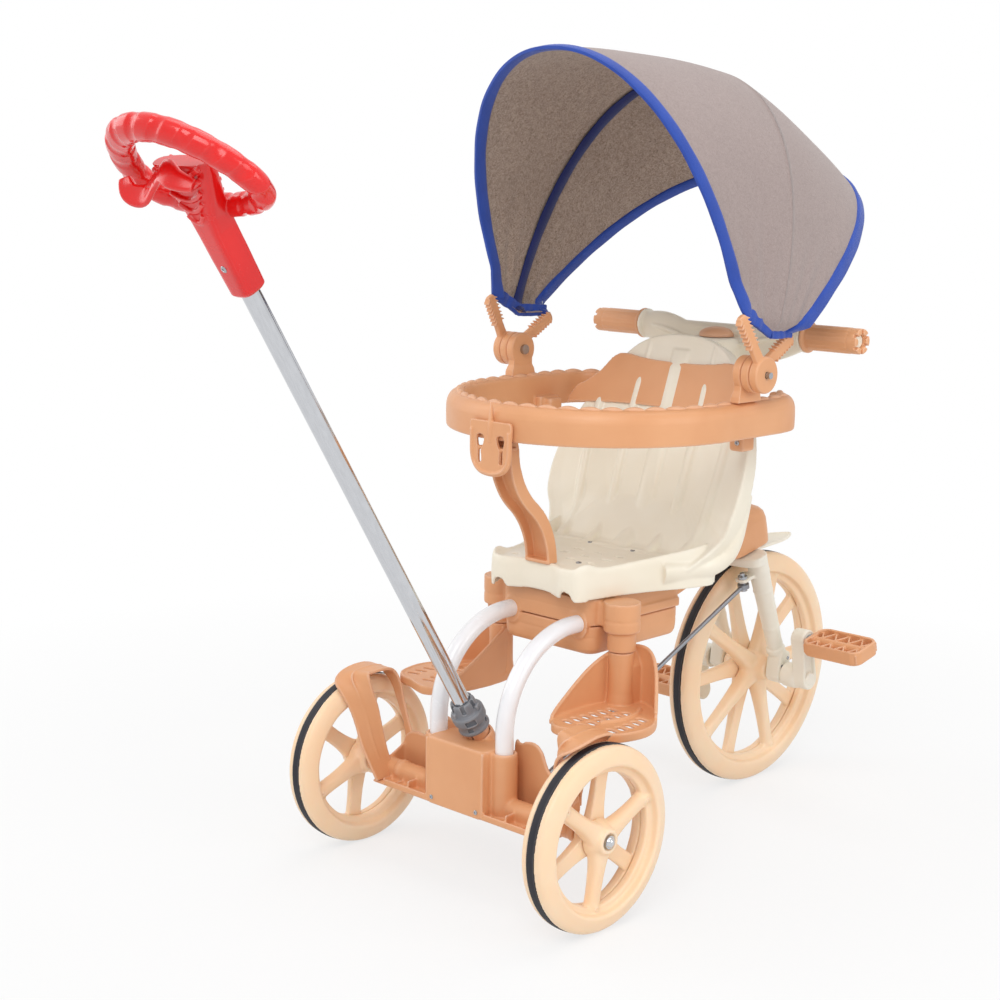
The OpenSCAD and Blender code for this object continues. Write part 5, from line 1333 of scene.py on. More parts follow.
    post = sweep(path, channel, up=(1, 0, 0))
    foot = block((-19, low[0] - 9, SEAT_Z + 0.3), (19, low[0] + 9, SEAT_Z + 5), 1.5)
    moulding("crotch_post", joined(post, foot), "tan", "frame", fuse=1.0)


# ---------------------------------------------------------------- footrests

TREAD_Z = 215.0


def make_footrests(sizes):
    plan = smooth_line([(90, 52), (98, 34), (113, 25.5), (130, 29), (147, 35), (168, 40), (184, 53),
        (192, 74), (194, 95), (189, 114), (179, 131), (163, 151), (146, 168), (130, 177), (108, 177),
        (92, 165), (84, 145), (81, 115), (83, 80)], 200, closed=True)

    def ring(inset, z):
        p = grown(plan, -inset)
        return np.column_stack([p, np.full(len(p), z)])

    tray = loft([ring(4.0, TREAD_Z - 3.4), ring(3.4, TREAD_Z - 9.8), ring(0.8, TREAD_Z - 10.2),
        ring(0.0, TREAD_Z - 8.6), ring(0.0, TREAD_Z - 1.0), ring(0.8, TREAD_Z + 1.2),
        ring(2.4, TREAD_Z + 1.6), ring(4.0, TREAD_Z + 0.6), ring(5.6, TREAD_Z)])
    holes = []
    for column, (x0, lean, first, count) in enumerate(((108, 3.0, 52, 6), (131, 3.2, 53, 6),
            (168, 0.6, 62, 5))):
        for i in range(count):
            y = first + i * 14.5
            x = x0 + lean * i * (0.4 if column < 2 else 1.0) + (2.2 * i - 0.9 * i * i if column == 2 else 0)
            holes.append(slot_shape((x - 4.8, y + 1.0), (x + 4.8, y - 1.0), 3.9, TREAD_Z - 30, TREAD_Z + 30))
    tray = cut(tray, joined(*holes))
    wall = np.array([(93, 38, 217), (87, 55, 225), (84, 75, 236), (82.5, 98, 250), (83, 122, 264),
        (87, 144, 275), (95, 163, 282), (108, 173.5, 285), (124, 175.5, 284), (138, 171, 277),
        (150, 162.5, 264), (160, 152, 247), (169, 141, 231), (178, 130, 219)], float)
    line = smooth_line(wall, 110)
    side = outward(line[:, :2])
    side *= math.copysign(1, np.sum(side * (line[:, :2] - (130, 105))))
    rings = []
    for p, n in zip(line, side):
        s = [(-1.6, TREAD_Z - 4), (1.6, TREAD_Z - 4), (1.9, p[2] - 2), (1.2, p[2] - 0.4), (0, p[2] + 0.4),
            (-1.2, p[2] - 0.4), (-1.9, p[2] - 2)]
        rings.append([(p[0] + o * n[0], p[1] + o * n[1], z) for o, z in s])
    shells = [tray, loft(rings)]
    shells.append(tube(line[2:-2] + (0, 0, -0.5), 2.5, 10))
    # raised rib that curls between the holes
    curl = smooth_line([(137, 150, TREAD_Z + 0.6), (147, 132, TREAD_Z + 0.8), (150, 112, TREAD_Z + 0.8),
        (148, 92, TREAD_Z + 0.8), (140, 74, TREAD_Z + 0.4)], 40)
    shells.append(sweep(curl, pill_section(6.0, 5.6, 2.2, 12), up=(0, 0, 1)))
    # post with its collars and the web that carries it
    shells.append(moved(turned([(0, TREAD_Z - 4), (17.4, TREAD_Z - 4), (16.6, TREAD_Z + 6),
        (15.6, TREAD_Z + 14), (15.4, 262), (15.5, 280.4), (0, 280.4)], 56), by=(102, 154, 0)))
    shells.append(loft([[(88 + f, 152, z), (116 - f, 152, z), (118 - 2 * f, 175 - f, z), (97 + f, 171 - f, z)]
        for z, f in ((TREAD_Z - 2, 0), (262, 0), (284, 5))]))
    shape = joined(*shells)
    for side_name, way in (("right", 1), ("left", -1)):
        item = shape if way > 0 else mirrored(shape)
        moulding(f"footrest_{side_name}", item, "tan", f"{side_name}_footrest", fuse=1.15)
        spigot = turned([(0, 278), (11.6, 278), (11.6, 336), (0, 336)], 40)
        piece(f"footrest_{side_name}_spigot", moved(spigot, by=(way * 102, 154, 0)), FINISH["tan"],
            f"{side_name}_footrest")


# ---------------------------------------------------------------- rear base and fenders


def round_ring(w, d, r, n=7):
    """A rectangle with round corners, in plan."""
    out = []
    for sx, sy, start in ((1, 1, 0), (-1, 1, 90), (-1, -1, 180), (1, -1, 270)):
        for a in np.linspace(start, start + 90, n):
            out.append((sx * (w / 2 - r) + r * math.cos(rad(a)), sy * (d / 2 - r) + r * math.sin(rad(a))))
    return np.array(out)


def stack(layers, centre=(0, 0)):
    """Rounded rectangles (w, d, r, z), one above another."""
    return loft([np.column_stack([round_ring(w, d, r) + centre, np.full(28, z)]) for w, d, r, z in layers])


def strap(pairs, thick, count, bead=0.0):
    """A bent strap given by its two edges, with a rolled bead along each."""
    outer = smooth_line([p[0] for p in pairs], count)
    inner = smooth_line([p[1] for p in pairs], count)
    rings = []
    along = np.gradient((outer + inner) / 2, axis=0)
    for a, b, t in zip(outer, inner, along):
        face = np.cross(b - a, t)
        face = face / np.linalg.norm(face) * thick / 2
        mid = (a + b) / 2
        rings.append([a + face, mid + face * 1.15, b + face, b - face, mid - face * 1.15, a - face])
    shells = [loft(rings)]
    if bead:
        shells += [tube(e, bead, 10, up=(0.3, 0.8, 0.5)) for e in (outer, inner)]
    return joined(*shells)


def make_rear(sizes):
    shells = [stack([(93, 45, 5, 176.4), (93.4, 45.4, 5, 96), (100, 52, 8, 96), (100.4, 52.4, 8, 100),
        (100, 52, 8, 172), (99, 51, 8, 177), (96.5, 48.5, 7, 179.4), (92, 44, 6, 180)], (0, -4))]
    shells.append(block((-49, -30.6, 97), (-45.6, -26, 178), 1.0))
    shells.append(block((45.6, -30.6, 97), (49, -26, 178), 1.0))
    side = [moved(turned([(0, 96), (15.8, 96), (16.4, 99), (16.2, 172), (15.6, 175.6), (14.4, 176.6),
        (12.2, 176.6), (11.2, 175.6), (11.2, 124), (0, 124)], 56), by=(56, -1, 0))]
    side.append(block((46, -30, 96), (146, 28, 99.4), 1.2))
    side.append(block((46, -30, 96), (124, -26.8, 105), 1.2))
    wall = smooth_line([(46, 97), (96, 97), (149, 97), (149.5, 124), (147, 139), (139, 149), (126, 152.5),
        (112, 152), (101, 156), (95, 165), (90, 176), (82, 183.5), (72, 185), (56, 181), (46, 178)], 120,
        closed=True)
    side.append(upright_slab(wall, 26.6, 30.0))
    rim = smooth_line([(149, 122), (147, 139), (139, 149), (126, 152.5), (112, 152), (101, 156), (95, 165),
        (90, 176), (82, 183.5), (72, 185), (62, 183)], 60)
    side.append(tube([(x, 28.3, z - 1) for x, z in rim], 2.3, 10, up=(0, 1, 0)))
    side.append(loft([[(146.6, -20, z0), (150, -20, z0), (150, 29, z1), (146.6, 29, z1)] for z0,
        z1 in ((96, 96), (110, 128), (112, 136))]))
    side.append(rod((40, 0, 110), (176, 0, 110), 12.0, n=40))
    side.append(rod((118, 0, 110), (124, 0, 110), 13.6, n=40))
    side.append(rod((168, 0, 110), (175, 0, 110), 13.2, n=40))
    side.append(block((46, -12, 96), (149, 12, 110), 1.0))
    for x in (84, 108, 130):
        side.append(block((x - 1.2, -27, 97), (x + 1.2, 27, 112 if x < 100 else 104), 0.8))
    shells.append(both(joined(*side)))
    boss = turned([(14.8, -42), (18.4, -42), (18.6, 2), (17.8, 5.6), (16.6, 6.6), (15.4, 6.0), (14.8, 4.6)],
        56)
    shells.append(on_pole(boss))
    whole = joined(*shells)
    moulding("rear_base", whole, "tan", "frame", fuse=1.6)
    # screw heads on the box
    spots = [((x, -30.6, z), (0, -1, 0), (1, 0, 0)) for x in (-38, 38) for z in (104,)]
    spots += [((s * x, 30.2, z), (0, 1, 0), (1, 0, 0)) for s in (-1, 1) for x, z in ((136, 118), (74, 140))]
    steel_screws("rear_base_screws", 2.8, 0.9, spots)

    arch = [((204, 20, 228.4), (165, 20, 228.6)), ((205, 8, 230.8), (165, 8, 231)),
        ((205, -8, 230.8), (165, -8, 231)), ((205, -22, 228.4), (165, -16, 230.4)),
        ((203, -34, 225), (164, -20, 231)), ((198, -44, 220.4), (163, -22, 229)),
        ((190, -49.4, 215.5), (161, -21, 219)), ((181, -47, 205), (160, -17, 205)),
        ((173.4, -41, 186), (158.5, -11, 187)), ((166, -38, 166), (155, -9, 168)),
        ((156, -39, 146), (150, -8, 148)), ((144, -36, 122), (143, -6, 124)),
        ((135, -31, 100), (134, -4, 100))]
    front = [((205, 8, 230.8), (165, 8, 231)), ((203, 20, 228.4), (165, 20, 228.4)),
        ((192, 29, 221), (162, 26, 221)), ((178, 33, 206), (158, 29.5, 206)),
        ((168, 33.5, 186), (154, 31, 186)), ((156, 32.5, 164), (146, 31, 163)),
        ((149, 32, 142), (136, 31, 141)), ((148, 32, 126), (134, 31, 126))]
    shape = joined(strap(arch, 3.0, 70, 2.2), strap(front, 3.0, 50, 2.0))
    # a rib down the middle of the arch
    ridge = smooth_line([((a[0] + b[0]) / 2, (a[1] + b[1]) / 2, (a[2] + b[2]) / 2 + 1.2) for a,
        b in arch[:-1]], 60)
    shape = joined(shape, tube(ridge, 1.7, 8, up=(1, 0.2, 0.1)))
    for name, item in (("fender_right", shape), ("fender_left", mirrored(shape))):
        moulding(name, item, "tan", "frame", fuse=1.3)

    cup = turned([(10.75, -43), (10.75, 15), (11.7, 16.3), (13.6, 16.3), (14.5, 15.2), (14.6, 8), (14.2, 4),
        (14.2, -43)], 64)
    slot = moved(block((-1.3, -20, 3), (1.3, 20, 30), 0.0), turn=turn_z(20))
    moulding("pole_cup", on_pole(cut(cup, slot)), "tan", "frame")

    collar = turned([(10.8, 17.2), (10.8, 60.4), (11.6, 61), (13.4, 61), (14.6, 60.2), (15.4, 57), (16.0, 47),
        (17.0, 45.4), (19.6, 44.6), (20.7, 43), (20.9, 38), (20.7, 32.4), (19.8, 30.6), (18.0, 29.8),
        (17.6, 27), (18.2, 22.6), (19.4, 21.2), (19.8, 19.4), (19.4, 17.6), (18.6, 17.2)], 96)
    tools = []
    for k in range(6):
        tools.append(moved(block((11.9, -2.6, 49.5), (24, 2.6, 66), 0.6), turn=turn_z(k * 60 + 12)))
    for k in range(3):
        tools.append(moved(block((15.4, -6.5, 33), (26, 6.5, 41), 1.2), turn=turn_z(k * 120 + 200)))
    for k in range(4):
        tools.append(moved(block((14.6, -3.4, 22.6), (24, 3.4, 28.6), 0.8), turn=turn_z(k * 90 + 35)))
    collar = cut(collar, joined(*tools))
    lugs = [moved(block((15.2, -4, 46.4), (19.4, 4, 53), 1.2), turn=turn_z(k * 120 + 260)) for k in range(3)]
    moulding("lock_collar", on_pole(joined(collar, *lugs)), "grey", "collar", fuse=0.8, soften=1)


# ---------------------------------------------------------------- housing, head and fork


def on_steer(shape, by=(0, 0, 0)):
    """From the steering frame, +Z up the steering axis, to the working frame."""
    return moved(moved(shape, by=by), by=(0, STEER_Y, STEER_Z), turn=turn_x(STEER_LEAN))


def make_housing(sizes):
    centre = (0, 213.5)
    upper = [(153, 174, 16, 309.2), (156, 177, 18, 310.4), (156, 177, 18, 326), (155.2, 176.2, 18, 326.8),
        (155.2, 176.2, 18, 328.2), (156, 177, 18, 329), (156, 177, 18, 341.6), (154, 175, 17, 343)]
    shells = [stack(upper, centre)]
    boss = turned([(0, 281), (15.9, 281), (17.6, 282), (17.6, 303), (18.4, 305), (22.3, 306), (22.6, 308),
        (22.6, 318), (21.8, 319.2), (21.8, 321), (22.6, 322), (22.6, 342), (0, 342.6)], 64)
    bore = moved(rod((0, 0, 270), (0, 0, 338), 12.4, n=48), by=(102, 154, 0))
    arm = cut(moved(boss, by=(102, 154, 0)), bore)
    web = cut(block((72, 139, 309.6), (100, 169, 340), 3.0), bore)
    shells.append(both(joined(arm, web)))
    shells.append(both(block((77, 196, 310), (80.5, 292, 322), 1.4)))
    shells.append(both(rod((56, 124, 311.5), (56, 132, 311.5), 15.0, n=40)))
    moulding("housing_upper", joined(*shells), "tan", "frame", fuse=1.5)
    lower = [(140, 160, 12, 272.2), (146, 167, 15, 274), (150.5, 171.5, 16, 278.6), (152.4, 173.4, 17, 285),
        (153, 174, 17, 292), (152.2, 173.2, 17, 293), (152.2, 173.2, 17, 294.4), (153, 174, 17, 295.4),
        (153, 174, 17, 307), (151, 172, 16, 308)]
    shells = [stack(lower, centre)]
    belly = []
    for t in np.linspace(0, 1, 15):
        s = math.sin(math.pi * (0.04 + 0.92 * t)) ** 0.5
        ring = pill_section(44 * s, 22 * s, 2.2, 24)
        belly.append(np.column_stack([np.full(24, -62 + 124 * t), ring[:, 0] + 168, ring[:, 1] + 276.6]))
    shells.append(loft(belly))
    shells.append(both(rod((56, 124, 306), (56, 131, 306), 14.0, n=40)))
    for x in (-24, 24):
        for y in (155, 272):
            shells.append(moved(turned([(4.4, 268.4), (6.4, 268.4), (7.0, 270), (7.0, 276), (4.4, 276)], 28),
                by=(x, y, 0)))
    moulding("housing_lower", joined(*shells), "tan", "frame", fuse=1.5)

    # neck and head cover
    rings = []
    for y, low, high, w in ((302.4, 300, 343, 60), (322, 292.5, 343.5, 60), (360, 304, 344.5, 60),
            (400, 317, 347, 60), (420, 324, 366, 61), (440, 331, 392, 63), (462, 336, 398, 66),
            (474, 340, 398, 64)):
        ring = pill_section(w, high - low, 7.0, 36)
        rings.append(np.column_stack([ring[:, 0], np.full(36, y), ring[:, 1] + (high + low) / 2]))
    shells = [loft(rings)]
    shells.append(both(moved(loft([[(29, y, z0), (31.6, y, z0), (31.6, y, z1), (29, y, z1)] for y, z0,
        z1 in ((306, 312, 318), (360, 318, 324), (410, 336, 342), (440, 352, 358))]))))
    cover = [(80, 88, 20, 42.6), (84, 92, 22, 44.6), (84.4, 92.4, 22, 64), (84, 91, 22, 84), (80, 86, 21, 96),
        (72, 77, 20, 102.6), (60, 62, 18, 106), (48, 50, 16, 107.4)]
    rings = []
    for w, d, r, z in cover:
        ring = round_ring(w, d, r)
        fall = np.clip(ring[:, 1] + 4, 0, None) * 0.24 * np.clip((z - 60) / 45, 0, 1)
        rings.append(np.column_stack([ring[:, 0], ring[:, 1] + 14, z - fall]))
    shells.append(on_steer(loft(rings)))
    shells.append(on_steer(turned([(17.4, 95), (22, 95), (22.4, 108.6), (21.4, 110), (18.4, 110),
        (17.4, 109)], 56)))
    neck = cut(shells[0], on_steer(rod((0, 0, 0), (0, 0, 150), 17.5, n=56)))
    cap = cut(shells[2], on_steer(rod((0, 0, 20), (0, 0, 130), 17.5, n=56)))
    moulding("head_frame", joined(neck, shells[1], cap, shells[3]), "tan", "frame", fuse=1.3)


def make_fork(sizes):
    top, low = np.array([46.0, 499, 338]), np.array([46.0, 558, 186])
    way = (low - top) / np.linalg.norm(low - top)
    line = [top + (low - top) * t for t in np.linspace(-0.02, 1, 60)]
    radii = []
    for t in np.linspace(0, 1, 60):
        r = 15.6 - 4.8 * t ** 0.8
        for at in (0.16, 0.34, 0.52, 0.70, 0.86):
            r += 0.9 * math.exp(-((t - at) / 0.012) ** 2)
        radii.append(r)
    leg = sweep(line, lambda t, i: disc_section(radii[i], 36, 0.94), up=(0, 1, 0.3))
    side = [leg, rod(low - way * 16, low - way * 9, 13.4), rod(low - way * 4, low + way * 1.5, 12.6)]
    # teeth along the front of the leg
    for k in range(9):
        at = top + (low - top) * (0.12 + 0.088 * k)
        side.append(loft([np.array([at + (x, 0, 0) + way * s + np.array([0, 0.93, 0.36]) * o for x,
            s in ((-1.6, -3.4), (1.6, -3.4), (1.6, 3.4), (-1.6, 3.4))]) for o in (8.5 - 0.3 * k, 17.4 - 0.42 *
            k)]))
    # axle block
    outline = smooth_line([(556 + 15 * math.cos(a), 165 + 15 * math.sin(a)) for a in np.linspace(-2.9, 0.5,
        14)] + [(569, 182), (567, 194), (552, 197), (545, 186)], 70, closed=True)
    side.append(loft([np.column_stack([np.full(70, x), grown(outline, g)]) for x,
        g in ((37.5, -2), (39, -0.4), (41, 0), (58, 0), (60.2, -0.8), (61, -2.4))]))
    side.append(rod((58, 556, 165), (61.6, 556, 165), 11.5, n=40))
    crown = [(46, 30, 27.6), (46, 34, 30), (46, 34.4, 38.4), (46, 32, 40.6)]
    rings = []
    for half, d, z in crown:
        ring = pill_section(2 * half + d, d, 3.0, 60)
        rings.append(np.column_stack([ring, np.full(60, z)]))
    shells = [both(joined(*side)), on_steer(loft(rings))]
    ear = loft([[(24, -4, z), (32, -22, z), (40, -24.4, z), (46, -22, z), (48.4, -16, z), (47, -8, z),
        (50, 6, z), (24, 6, z)] for z in (8.0, 13.0)])
    ear = cut(ear, rod((40, -16, 0), (40, -16, 20), 3.6, n=24))
    shells.append(on_steer(ear))
    shells.append(on_steer(block((-20, 16, 35.6), (20, 27, 39.4), 1.0)))
    moulding("fork", joined(*shells), "ivory", "steering", fuse=1.3)
    spots = [((s * 61.2, 562, 186), (s, 0, 0), (0, 1, 0)) for s in (-1, 1)]
    spots += [((s * 61.2, 549, 176), (s, 0, 0), (0, 1, 0)) for s in (-1, 1)]
    steel_screws("fork_screws", 2.6, 0.9, spots, "steering")

    # guard tongue with a raised edge
    plan = smooth_line([(-30, 514), (0, 511), (30, 514), (33, 530), (29, 560), (24, 592), (14, 622), (0, 642),
        (-14, 622), (-24, 592), (-29, 560), (-33, 530)], 120, closed=True)
    rings = []
    for inset, z in ((3.5, 342.2), (0.6, 342.2), (0, 343), (0.3, 345.4), (1.6, 346.0), (3.0, 344.8),
            (4.4, 344.4)):
        rings.append(np.column_stack([grown(plan, -inset), np.full(120, z)]))
    moulding("mudguard", loft(rings), "cream", "steering")


def make_drive(sizes):
    for name, way, body, turn in (("right", 1, "right", 8.0), ("left", -1, "left", 188.0)):
        # crank: hub, arm with raised edges and a boss for the spindle
        hub = about_x(turned([(6.2, 63.4), (15.6, 63.4), (16.8, 64.8), (17, 80), (16, 86), (6.2, 86)], 56))
        arm = smooth_line([(15 * math.cos(a), 15 * math.sin(a)) for a in np.linspace(math.pi, 2 * math.pi,
            12)] + [(13.4, 20), (12.6, 40)] + [(14 * math.cos(a), 58 + 14 * math.sin(a)) for a
            in np.linspace(0, math.pi, 12)] + [(-12.6, 40), (-13.4, 20)], 96, closed=True)
        plate = loft([np.column_stack([np.full(96, x), grown(arm, g)]) for x, g in ((83, -1.6), (84.4, -0.2),
            (86, 0), (102, 0), (104, -0.6), (105, -1.8), (104, -4.2), (99.6, -4.8))])
        boss = about_x(turned([(0, 96), (9.6, 96), (9.6, 104.0), (8.6, 105), (0, 105)], 40))
        shape = joined(hub, plate, boss, moved(boss, by=(0, 0, 58)))
        if way < 0:
            shape = mirrored(shape)
        shape = moved(moved(shape, turn=turn_x(turn)), by=(0, FRONT_Y, FRONT_Z))
        moulding(f"crank_{name}", shape, "ivory", "front_wheel", fuse=1.0)

        # pedal: frame, middle tube and slanting ribs
        y = FRONT_Y - way * 58 * math.sin(rad(8))
        z = FRONT_Z + way * 58 * math.cos(rad(8))
        outer, inner = round_ring(90, 55, 13), round_ring(82, 47, 10)
        rings = [np.column_stack([p, np.full(28, h)]) for p,
            h in ((inner, -9), (outer - np.sign(outer) * 0.9, -10), (outer, -8.6), (outer, 8.6),
            (outer - np.sign(outer) * 0.9, 10), (inner, 9.4))]
        parts = [moved(loft(rings, loop=True), by=(155, 0, 0)), rod((111, 0, 0), (199, 0, 0), 7.6, n=40)]
        for k in range(8):
            for s in (-1, 1):
                a = np.array([113.5 + k * 10.4, s * (5.0 if k % 2 else 25.0)])
                b = np.array([a[0] + 10.4, s * (25.0 if k % 2 else 5.0)])
                q = (b - a)[::-1] * (-1, 1) / np.linalg.norm(b - a) * 1.3
                parts.append(loft([[(*(a - q), h), (*(a + q), h), (*(b + q), h), (*(b - q), h)] for h
                    in (-6.5, 6.2)]))
        parts.append(block((109.8, -9, -9.6), (116, 9, 9.8), 1.4))
        parts.append(block((194, -9, -9.6), (200, 9, 9.8), 1.4))
        shape = joined(*parts)
        if way < 0:
            shape = mirrored(shape)
        shape = moved(moved(shape, turn=turn_x(12.0)), by=(0, y, z))
        moulding(f"pedal_{name}", shape, "tan", f"{body}_pedal", fuse=0.95, soften=1)


def make_handlebar(sizes):
    # leaf-shaped wings that narrow from the grips to the boss
    rings = []
    for t in np.linspace(-1, 1, 61):
        u = abs(t)
        leaf = math.sin(math.pi * min(1, u * 1.02) ** 1.5)
        ring = pill_section(28 - 10 * math.sin(math.pi * u), 36 + 17 * leaf - 2 * u, 2.3, 40)
        rings.append(np.column_stack([np.full(40, 134.0 * t), 467 + ring[:, 0] + 3 * u, 614 + 32 * u ** 1.15 +
            3 * leaf + ring[:, 1]]))
    shells = [loft(rings)]
    flange = about_x(turned([(9.2, 129.5), (18, 129.5), (20.3, 131), (20.3, 134.4), (9.2, 134.6)], 56))
    shells.append(moved(both(flange), by=(0, 470, 646)))
    shells.append(rod((-213, 470, 646), (213, 470, 646), 8.9, n=32))
    boss = turned([(0, 276), (23, 276), (24.4, 278), (29, 318), (28.4, 322), (0, 324)], 64)
    shells.append(on_steer(boss))
    shells.append(moved(turned([(0, 600), (33, 603), (35.6, 606), (36, 634), (34.6, 637.4), (30, 638.2),
        (24.6, 637.6), (0, 637.4)], 72), by=(0, 456, 0)))
    spine = smooth_line([(-128, 461.5, 648), (-80, 457, 640), (-40, 455, 630), (0, 454, 624), (40, 455, 630),
        (80, 457, 640), (128, 461.5, 648)], 80)
    shells.append(tube(spine, 3.0, 10, up=(0, 0, 1)))
    moulding("handlebar", joined(*shells), "cream", "steering", fuse=1.4)
    knob = turned([(0, 638.4), (23.4, 638.4), (24, 640), (23.4, 643), (21.4, 645.6), (16, 648.6), (9, 650.2),
        (0, 650.8)], 64)
    moulding("handlebar_knob", moved(knob, by=(0, 456, 0)), "tan", "steering")
    grip = [(9.3, 135.2), (19.4, 135.2), (20.5, 136.4), (20.5, 138.4), (19.2, 139.6), (17.2, 140.2),
        (16.4, 142), (16.3, 172), (16.0, 172.6), (16.0, 173.6), (16.3, 174.2), (16.3, 203), (15.9, 203.6),
        (15.9, 204.6), (16.3, 205.2), (16.4, 218), (15.6, 219), (9.3, 219)]
    grip = about_x(turned(grip, 72))
    tools = [moved(block((214.2, -2.2, 6), (224, 2.2, 22), 0.0), turn=turn_x(k * 60)) for k in range(6)]
    tools += [moved(block((193, -1.6, 12.0), (203, 1.6, 22), 0.4), turn=turn_x(k * 120 + 75)) for k
        in range(3)]
    grip = cut(grip, joined(*tools))
    # shallow ribs along the grip
    ribs = [moved(block((144, -1.1, 14.8), (203, 1.1, 16.7), 0.5), turn=turn_x(k * 20 + 15)) for k
        in range(18)]
    grip = moved(joined(grip, *ribs), by=(0, 470, 646))
    for name, item in (("grip_right", grip), ("grip_left", mirrored(grip))):
        moulding(name, item, "tan", "steering", fuse=0.85, soften=1)


def make_arms(sizes):
    layers = {"canopy_base": (181, 193, None), "canopy_arms_rear": (193.4, 205.4, -59.6),
        "canopy_arms_front": (205.8, 217.8, 30.0)}
    for name, (x0, x1, lean) in layers.items():
        disc = about_x(turned([(4.2, x0 + 0.2), (20.4, x0 + 0.2), (21.8, x0 + 1.2), (22.2, x0 + 3.0),
            (22.2, x1 - 3.0), (21.8, x1 - 1.2), (20.4, x1 - 0.2), (4.2, x1 - 0.2)], 64))
        parts = [disc]
        mid = (x0 + x1) / 2
        if lean is None:
            parts.append(loft([[(x0 + 0.6 - f, -w, z), (x1 - 0.6 + f, -w, z), (x1 - 0.6 + f, w, z),
                (x0 + 0.6 - f, w, z)] for z, w, f in ((-34, 22, 1.8), (-27, 21, 1.4), (-20, 17.6, 0),
                (-6, 17, 0))]))
            shape = moved(joined(*parts), by=(0, HUB_Y, HUB_Z))
            for label, item in (("right", shape), ("left", mirrored(shape))):
                moulding(f"canopy_base_{label}", item, "tan", "frame", fuse=0.8, soften=1)
            continue
        rings = []
        for z, w, d in ((8, 15, 8.6), (22, 14.4, 8.6), (30, 13.4, 8.6), (44, 12.8, 8.2), (60, 13, 8.2),
                (76, 13.4, 8), (80, 12.4, 7.4), (82, 9.6, 6)):
            ring = pill_section(d, w, 5.0, 24)
            rings.append(np.column_stack([mid + ring[:, 0], ring[:, 1], np.full(24, z)]))
        parts.append(loft(rings))
        # barbs lean back towards the hub
        for k in range(7):
            z = 43 + k * 5.6
            for s in (-1, 1):
                parts.append(loft([[(mid - w, s * 4.5, z - 0.4), (mid + w, s * 4.5, z - 0.4),
                    (mid + w, s * 9.4, z - 2.6), (mid - w, s * 9.4, z - 2.6)] if q == 0
                    else [(mid - w, s * 4.5, z + 3.6), (mid + w, s * 4.5, z + 3.6),
                    (mid + w, s * 9.4, z - 1.2), (mid - w, s * 9.4, z - 1.2)] for q,
                    w in ((0, 4.6), (1, 4.6))]))
        parts.append(loft([[(mid - 3.0, -4.6, z), (mid + 3.0, -4.6, z), (mid + 3.0, 4.6, z),
            (mid - 3.0, 4.6, z)] for z in (20.0, 38.0)]))
        shape = joined(*parts)
        if lean > 0:
            # the front arms are drawn in by the cloth
            lean_in = 0.09 * np.clip(shape[0][:, 2] - 20, 0, None)
            shape = (shape[0] - lean_in[:, None] * (1, 0, 0), shape[1])
        shape = both(shape)
        shape = moved(moved(shape, turn=turn_x(lean)), by=(0, HUB_Y, HUB_Z))
        moulding(name, shape, "tan", "canopy_rear" if "rear" in name else "canopy_front", fuse=0.8, soften=1)


# ---------------------------------------------------------------- finishes on the plain nodes

PLAIN = {"tan": ("rear_base", "fender_left", "fender_right", "pole_cup", "housing_upper", "housing_lower",
    "head_frame", "safety_ring", "ring_latch", "crotch_post", "canopy_base_left", "canopy_base_right",
    "grip_left", "grip_right", "handlebar_knob", "pedal_left", "pedal_right", "pole_arm", "footrest_left",
    "footrest_right", "canopy_arms_rear", "canopy_arms_front"), "peach": ("rear_wheel_outer_left",
    "rear_wheel_inner_left", "rear_wheel_outer_right", "rear_wheel_inner_right", "front_wheel_left",
    "front_wheel_right", "front_wheel_screws"), "cream": ("seat", "handlebar", "mudguard"),
    "ivory": ("fork", "crank_left", "crank_right"), "paint": ("frame_tube_left", "frame_tube_right"),
    "rubber": ("rear_wheel_band_left", "rear_wheel_band_right", "front_wheel_band"),
    "chrome": ("push_pole", "axle_caps"), "steel": ("rear_axle", "housing_screws", "seat_bolts",
    "canopy_pins", "steering_stem", "ear_bolt", "front_axle", "pedal_spindles", "handle_screw", "bow_rear",
    "bow_middle", "bow_front"), "wire": ("steering_rod",), "red": ("push_handle",), "grey": ("lock_collar",),
    "cloth": ("cover_rear", "cover_front"),}


def finish_nodes(sizes):
    """Gives every CAD node that stays its finish."""
    for finish, names in PLAIN.items():
        for name in names:
            obj = frame["nodes"][name]
            if not obj.material_slots:
                obj.data.materials.append(None)
            for held in obj.material_slots:
                held.material = FINISH[finish]


# ---------------------------------------------------------------- add-on


def mould_colour(name, about, red, green, blue):
    return bpy.props.FloatVectorProperty(name=name, description=about, subtype="COLOR", size=3, min=0, max=1,
        default=shade(red, green, blue)[:3])


class TricycleSizes(bpy.types.PropertyGroup):
    """Sizes and colours that a user would change."""

    tan: mould_colour("Tan", "Colour of the frame mouldings", 226, 166, 120)
    peach: mould_colour("Peach", "Colour of the wheels", 247, 219, 186)
    cream: mould_colour("Cream", "Colour of the seat", 242, 235, 218)
    red: mould_colour("Red", "Colour of the push handle", 228, 18, 16)
    ambient: bpy.props.FloatProperty(name="Ambient", description="Soft light from all round", default=0.55,
        min=0.0, max=2.0)
    lamps: bpy.props.FloatProperty(name="Lamps", description="Share of the studio lamps' power", default=1.0,
        min=0.0, max=4.0)


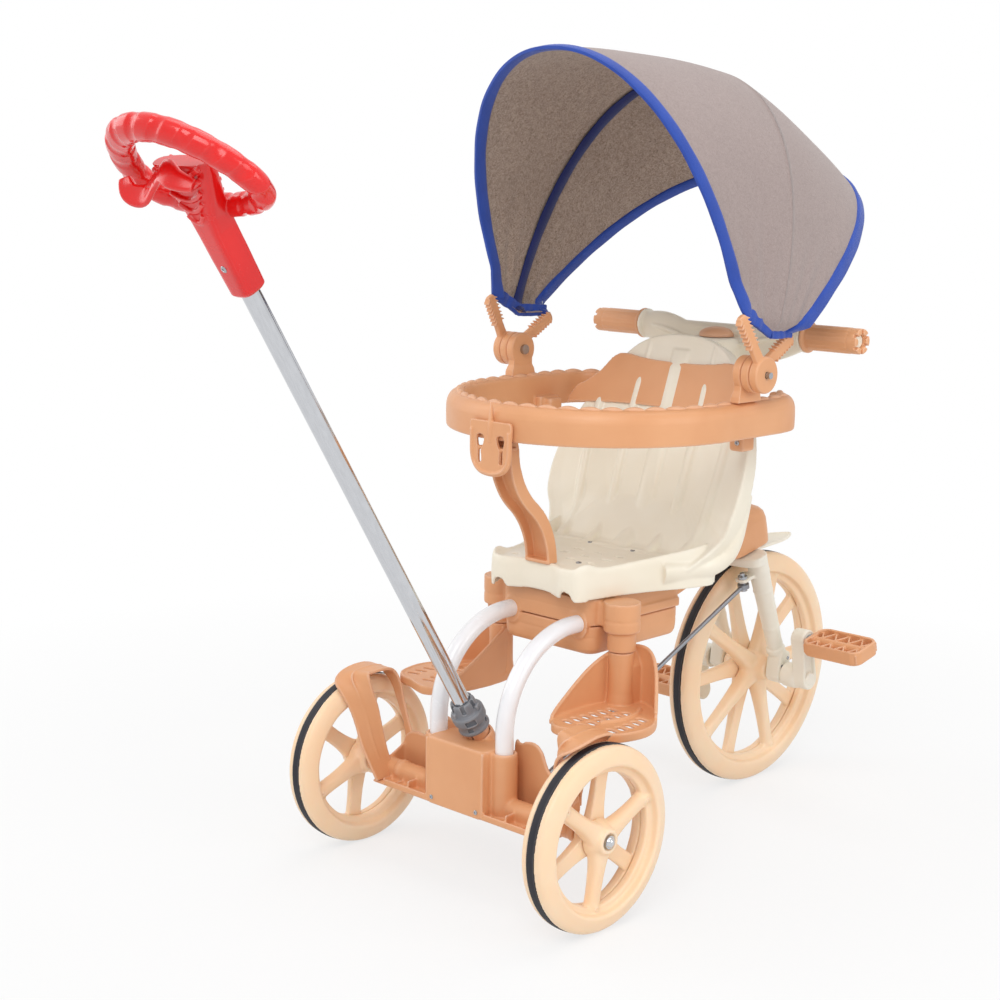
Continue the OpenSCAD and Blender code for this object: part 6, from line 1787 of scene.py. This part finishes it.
def step(label, words, make, idname):
    """An operator that makes one group of pieces."""
    def execute(self, context):
        make(context.scene.tricycle)
        return {"FINISHED"}

    return type("TRICYCLE_OT_" + idname, (bpy.types.Operator,), {"__doc__": words, "bl_idname": "tricycle." +
        idname, "bl_label": label, "bl_options": {"REGISTER", "UNDO"}, "execute": execute})


STEPS = [step("Finishes", "Make the materials and put them on the plain nodes",
    lambda sizes: (make_finishes(sizes), finish_nodes(sizes)), "finishes"),
    step("Studio", "Make the floor, lamps and camera", make_stage, "studio"),
    step("Wheels", "Mould the wheel halves and their bands", make_wheels, "wheels"),
    step("Push handle", "Mould the push handle", make_push_handle, "push_handle"),
    step("Seat", "Mould the bucket seat", make_seat, "seat"),
    step("Safety ring", "Mould the ring, its latch and its post", make_ring, "safety_ring"),
    step("Footrests", "Mould the two swinging footrests", make_footrests, "footrests"),
    step("Rear base", "Mould the rear base, fenders, cup and collar", make_rear, "rear_base"),
    step("Housing", "Mould the housing, neck and head", make_housing, "housing"),
    step("Fork", "Mould the fork and the guard over the wheel", make_fork, "fork"),
    step("Drive", "Mould the cranks and pedals", make_drive, "drive"),
    step("Handlebar", "Mould the handlebar, its grips and its knob", make_handlebar, "handlebar"),
    step("Canopy arms", "Mould the canopy's hubs and barbed arms", make_arms, "canopy_arms"),
    step("Canopy", "Cut and stretch the canopy over its bows", make_canopy, "canopy"),]


class TRICYCLE_PT_panel(bpy.types.Panel):
    """The tricycle's steps and sizes"""

    bl_label = "Tricycle"
    bl_idname = "TRICYCLE_PT_panel"
    bl_space_type = "VIEW_3D"
    bl_region_type = "UI"
    bl_category = "Tricycle"

    def draw(self, context):
        sizes = context.scene.tricycle
        for name in sizes.bl_rna.properties.keys():
            if name not in ("rna_type", "name"):
                self.layout.prop(sizes, name)
        for made in STEPS:
            self.layout.operator(made.bl_idname)


CLASSES = [TricycleSizes, *STEPS, TRICYCLE_PT_panel]


def register():
    for made in CLASSES:
        bpy.utils.register_class(made)
    bpy.types.Scene.tricycle = bpy.props.PointerProperty(type=TricycleSizes)


def unregister():
    del bpy.types.Scene.tricycle
    for made in reversed(CLASSES):
        bpy.utils.unregister_class(made)


def main():
    register()
    for made in STEPS:
        group, name = made.bl_idname.split(".")
        getattr(getattr(bpy.ops, group), name)()


if __name__ == "__main__":
    main()
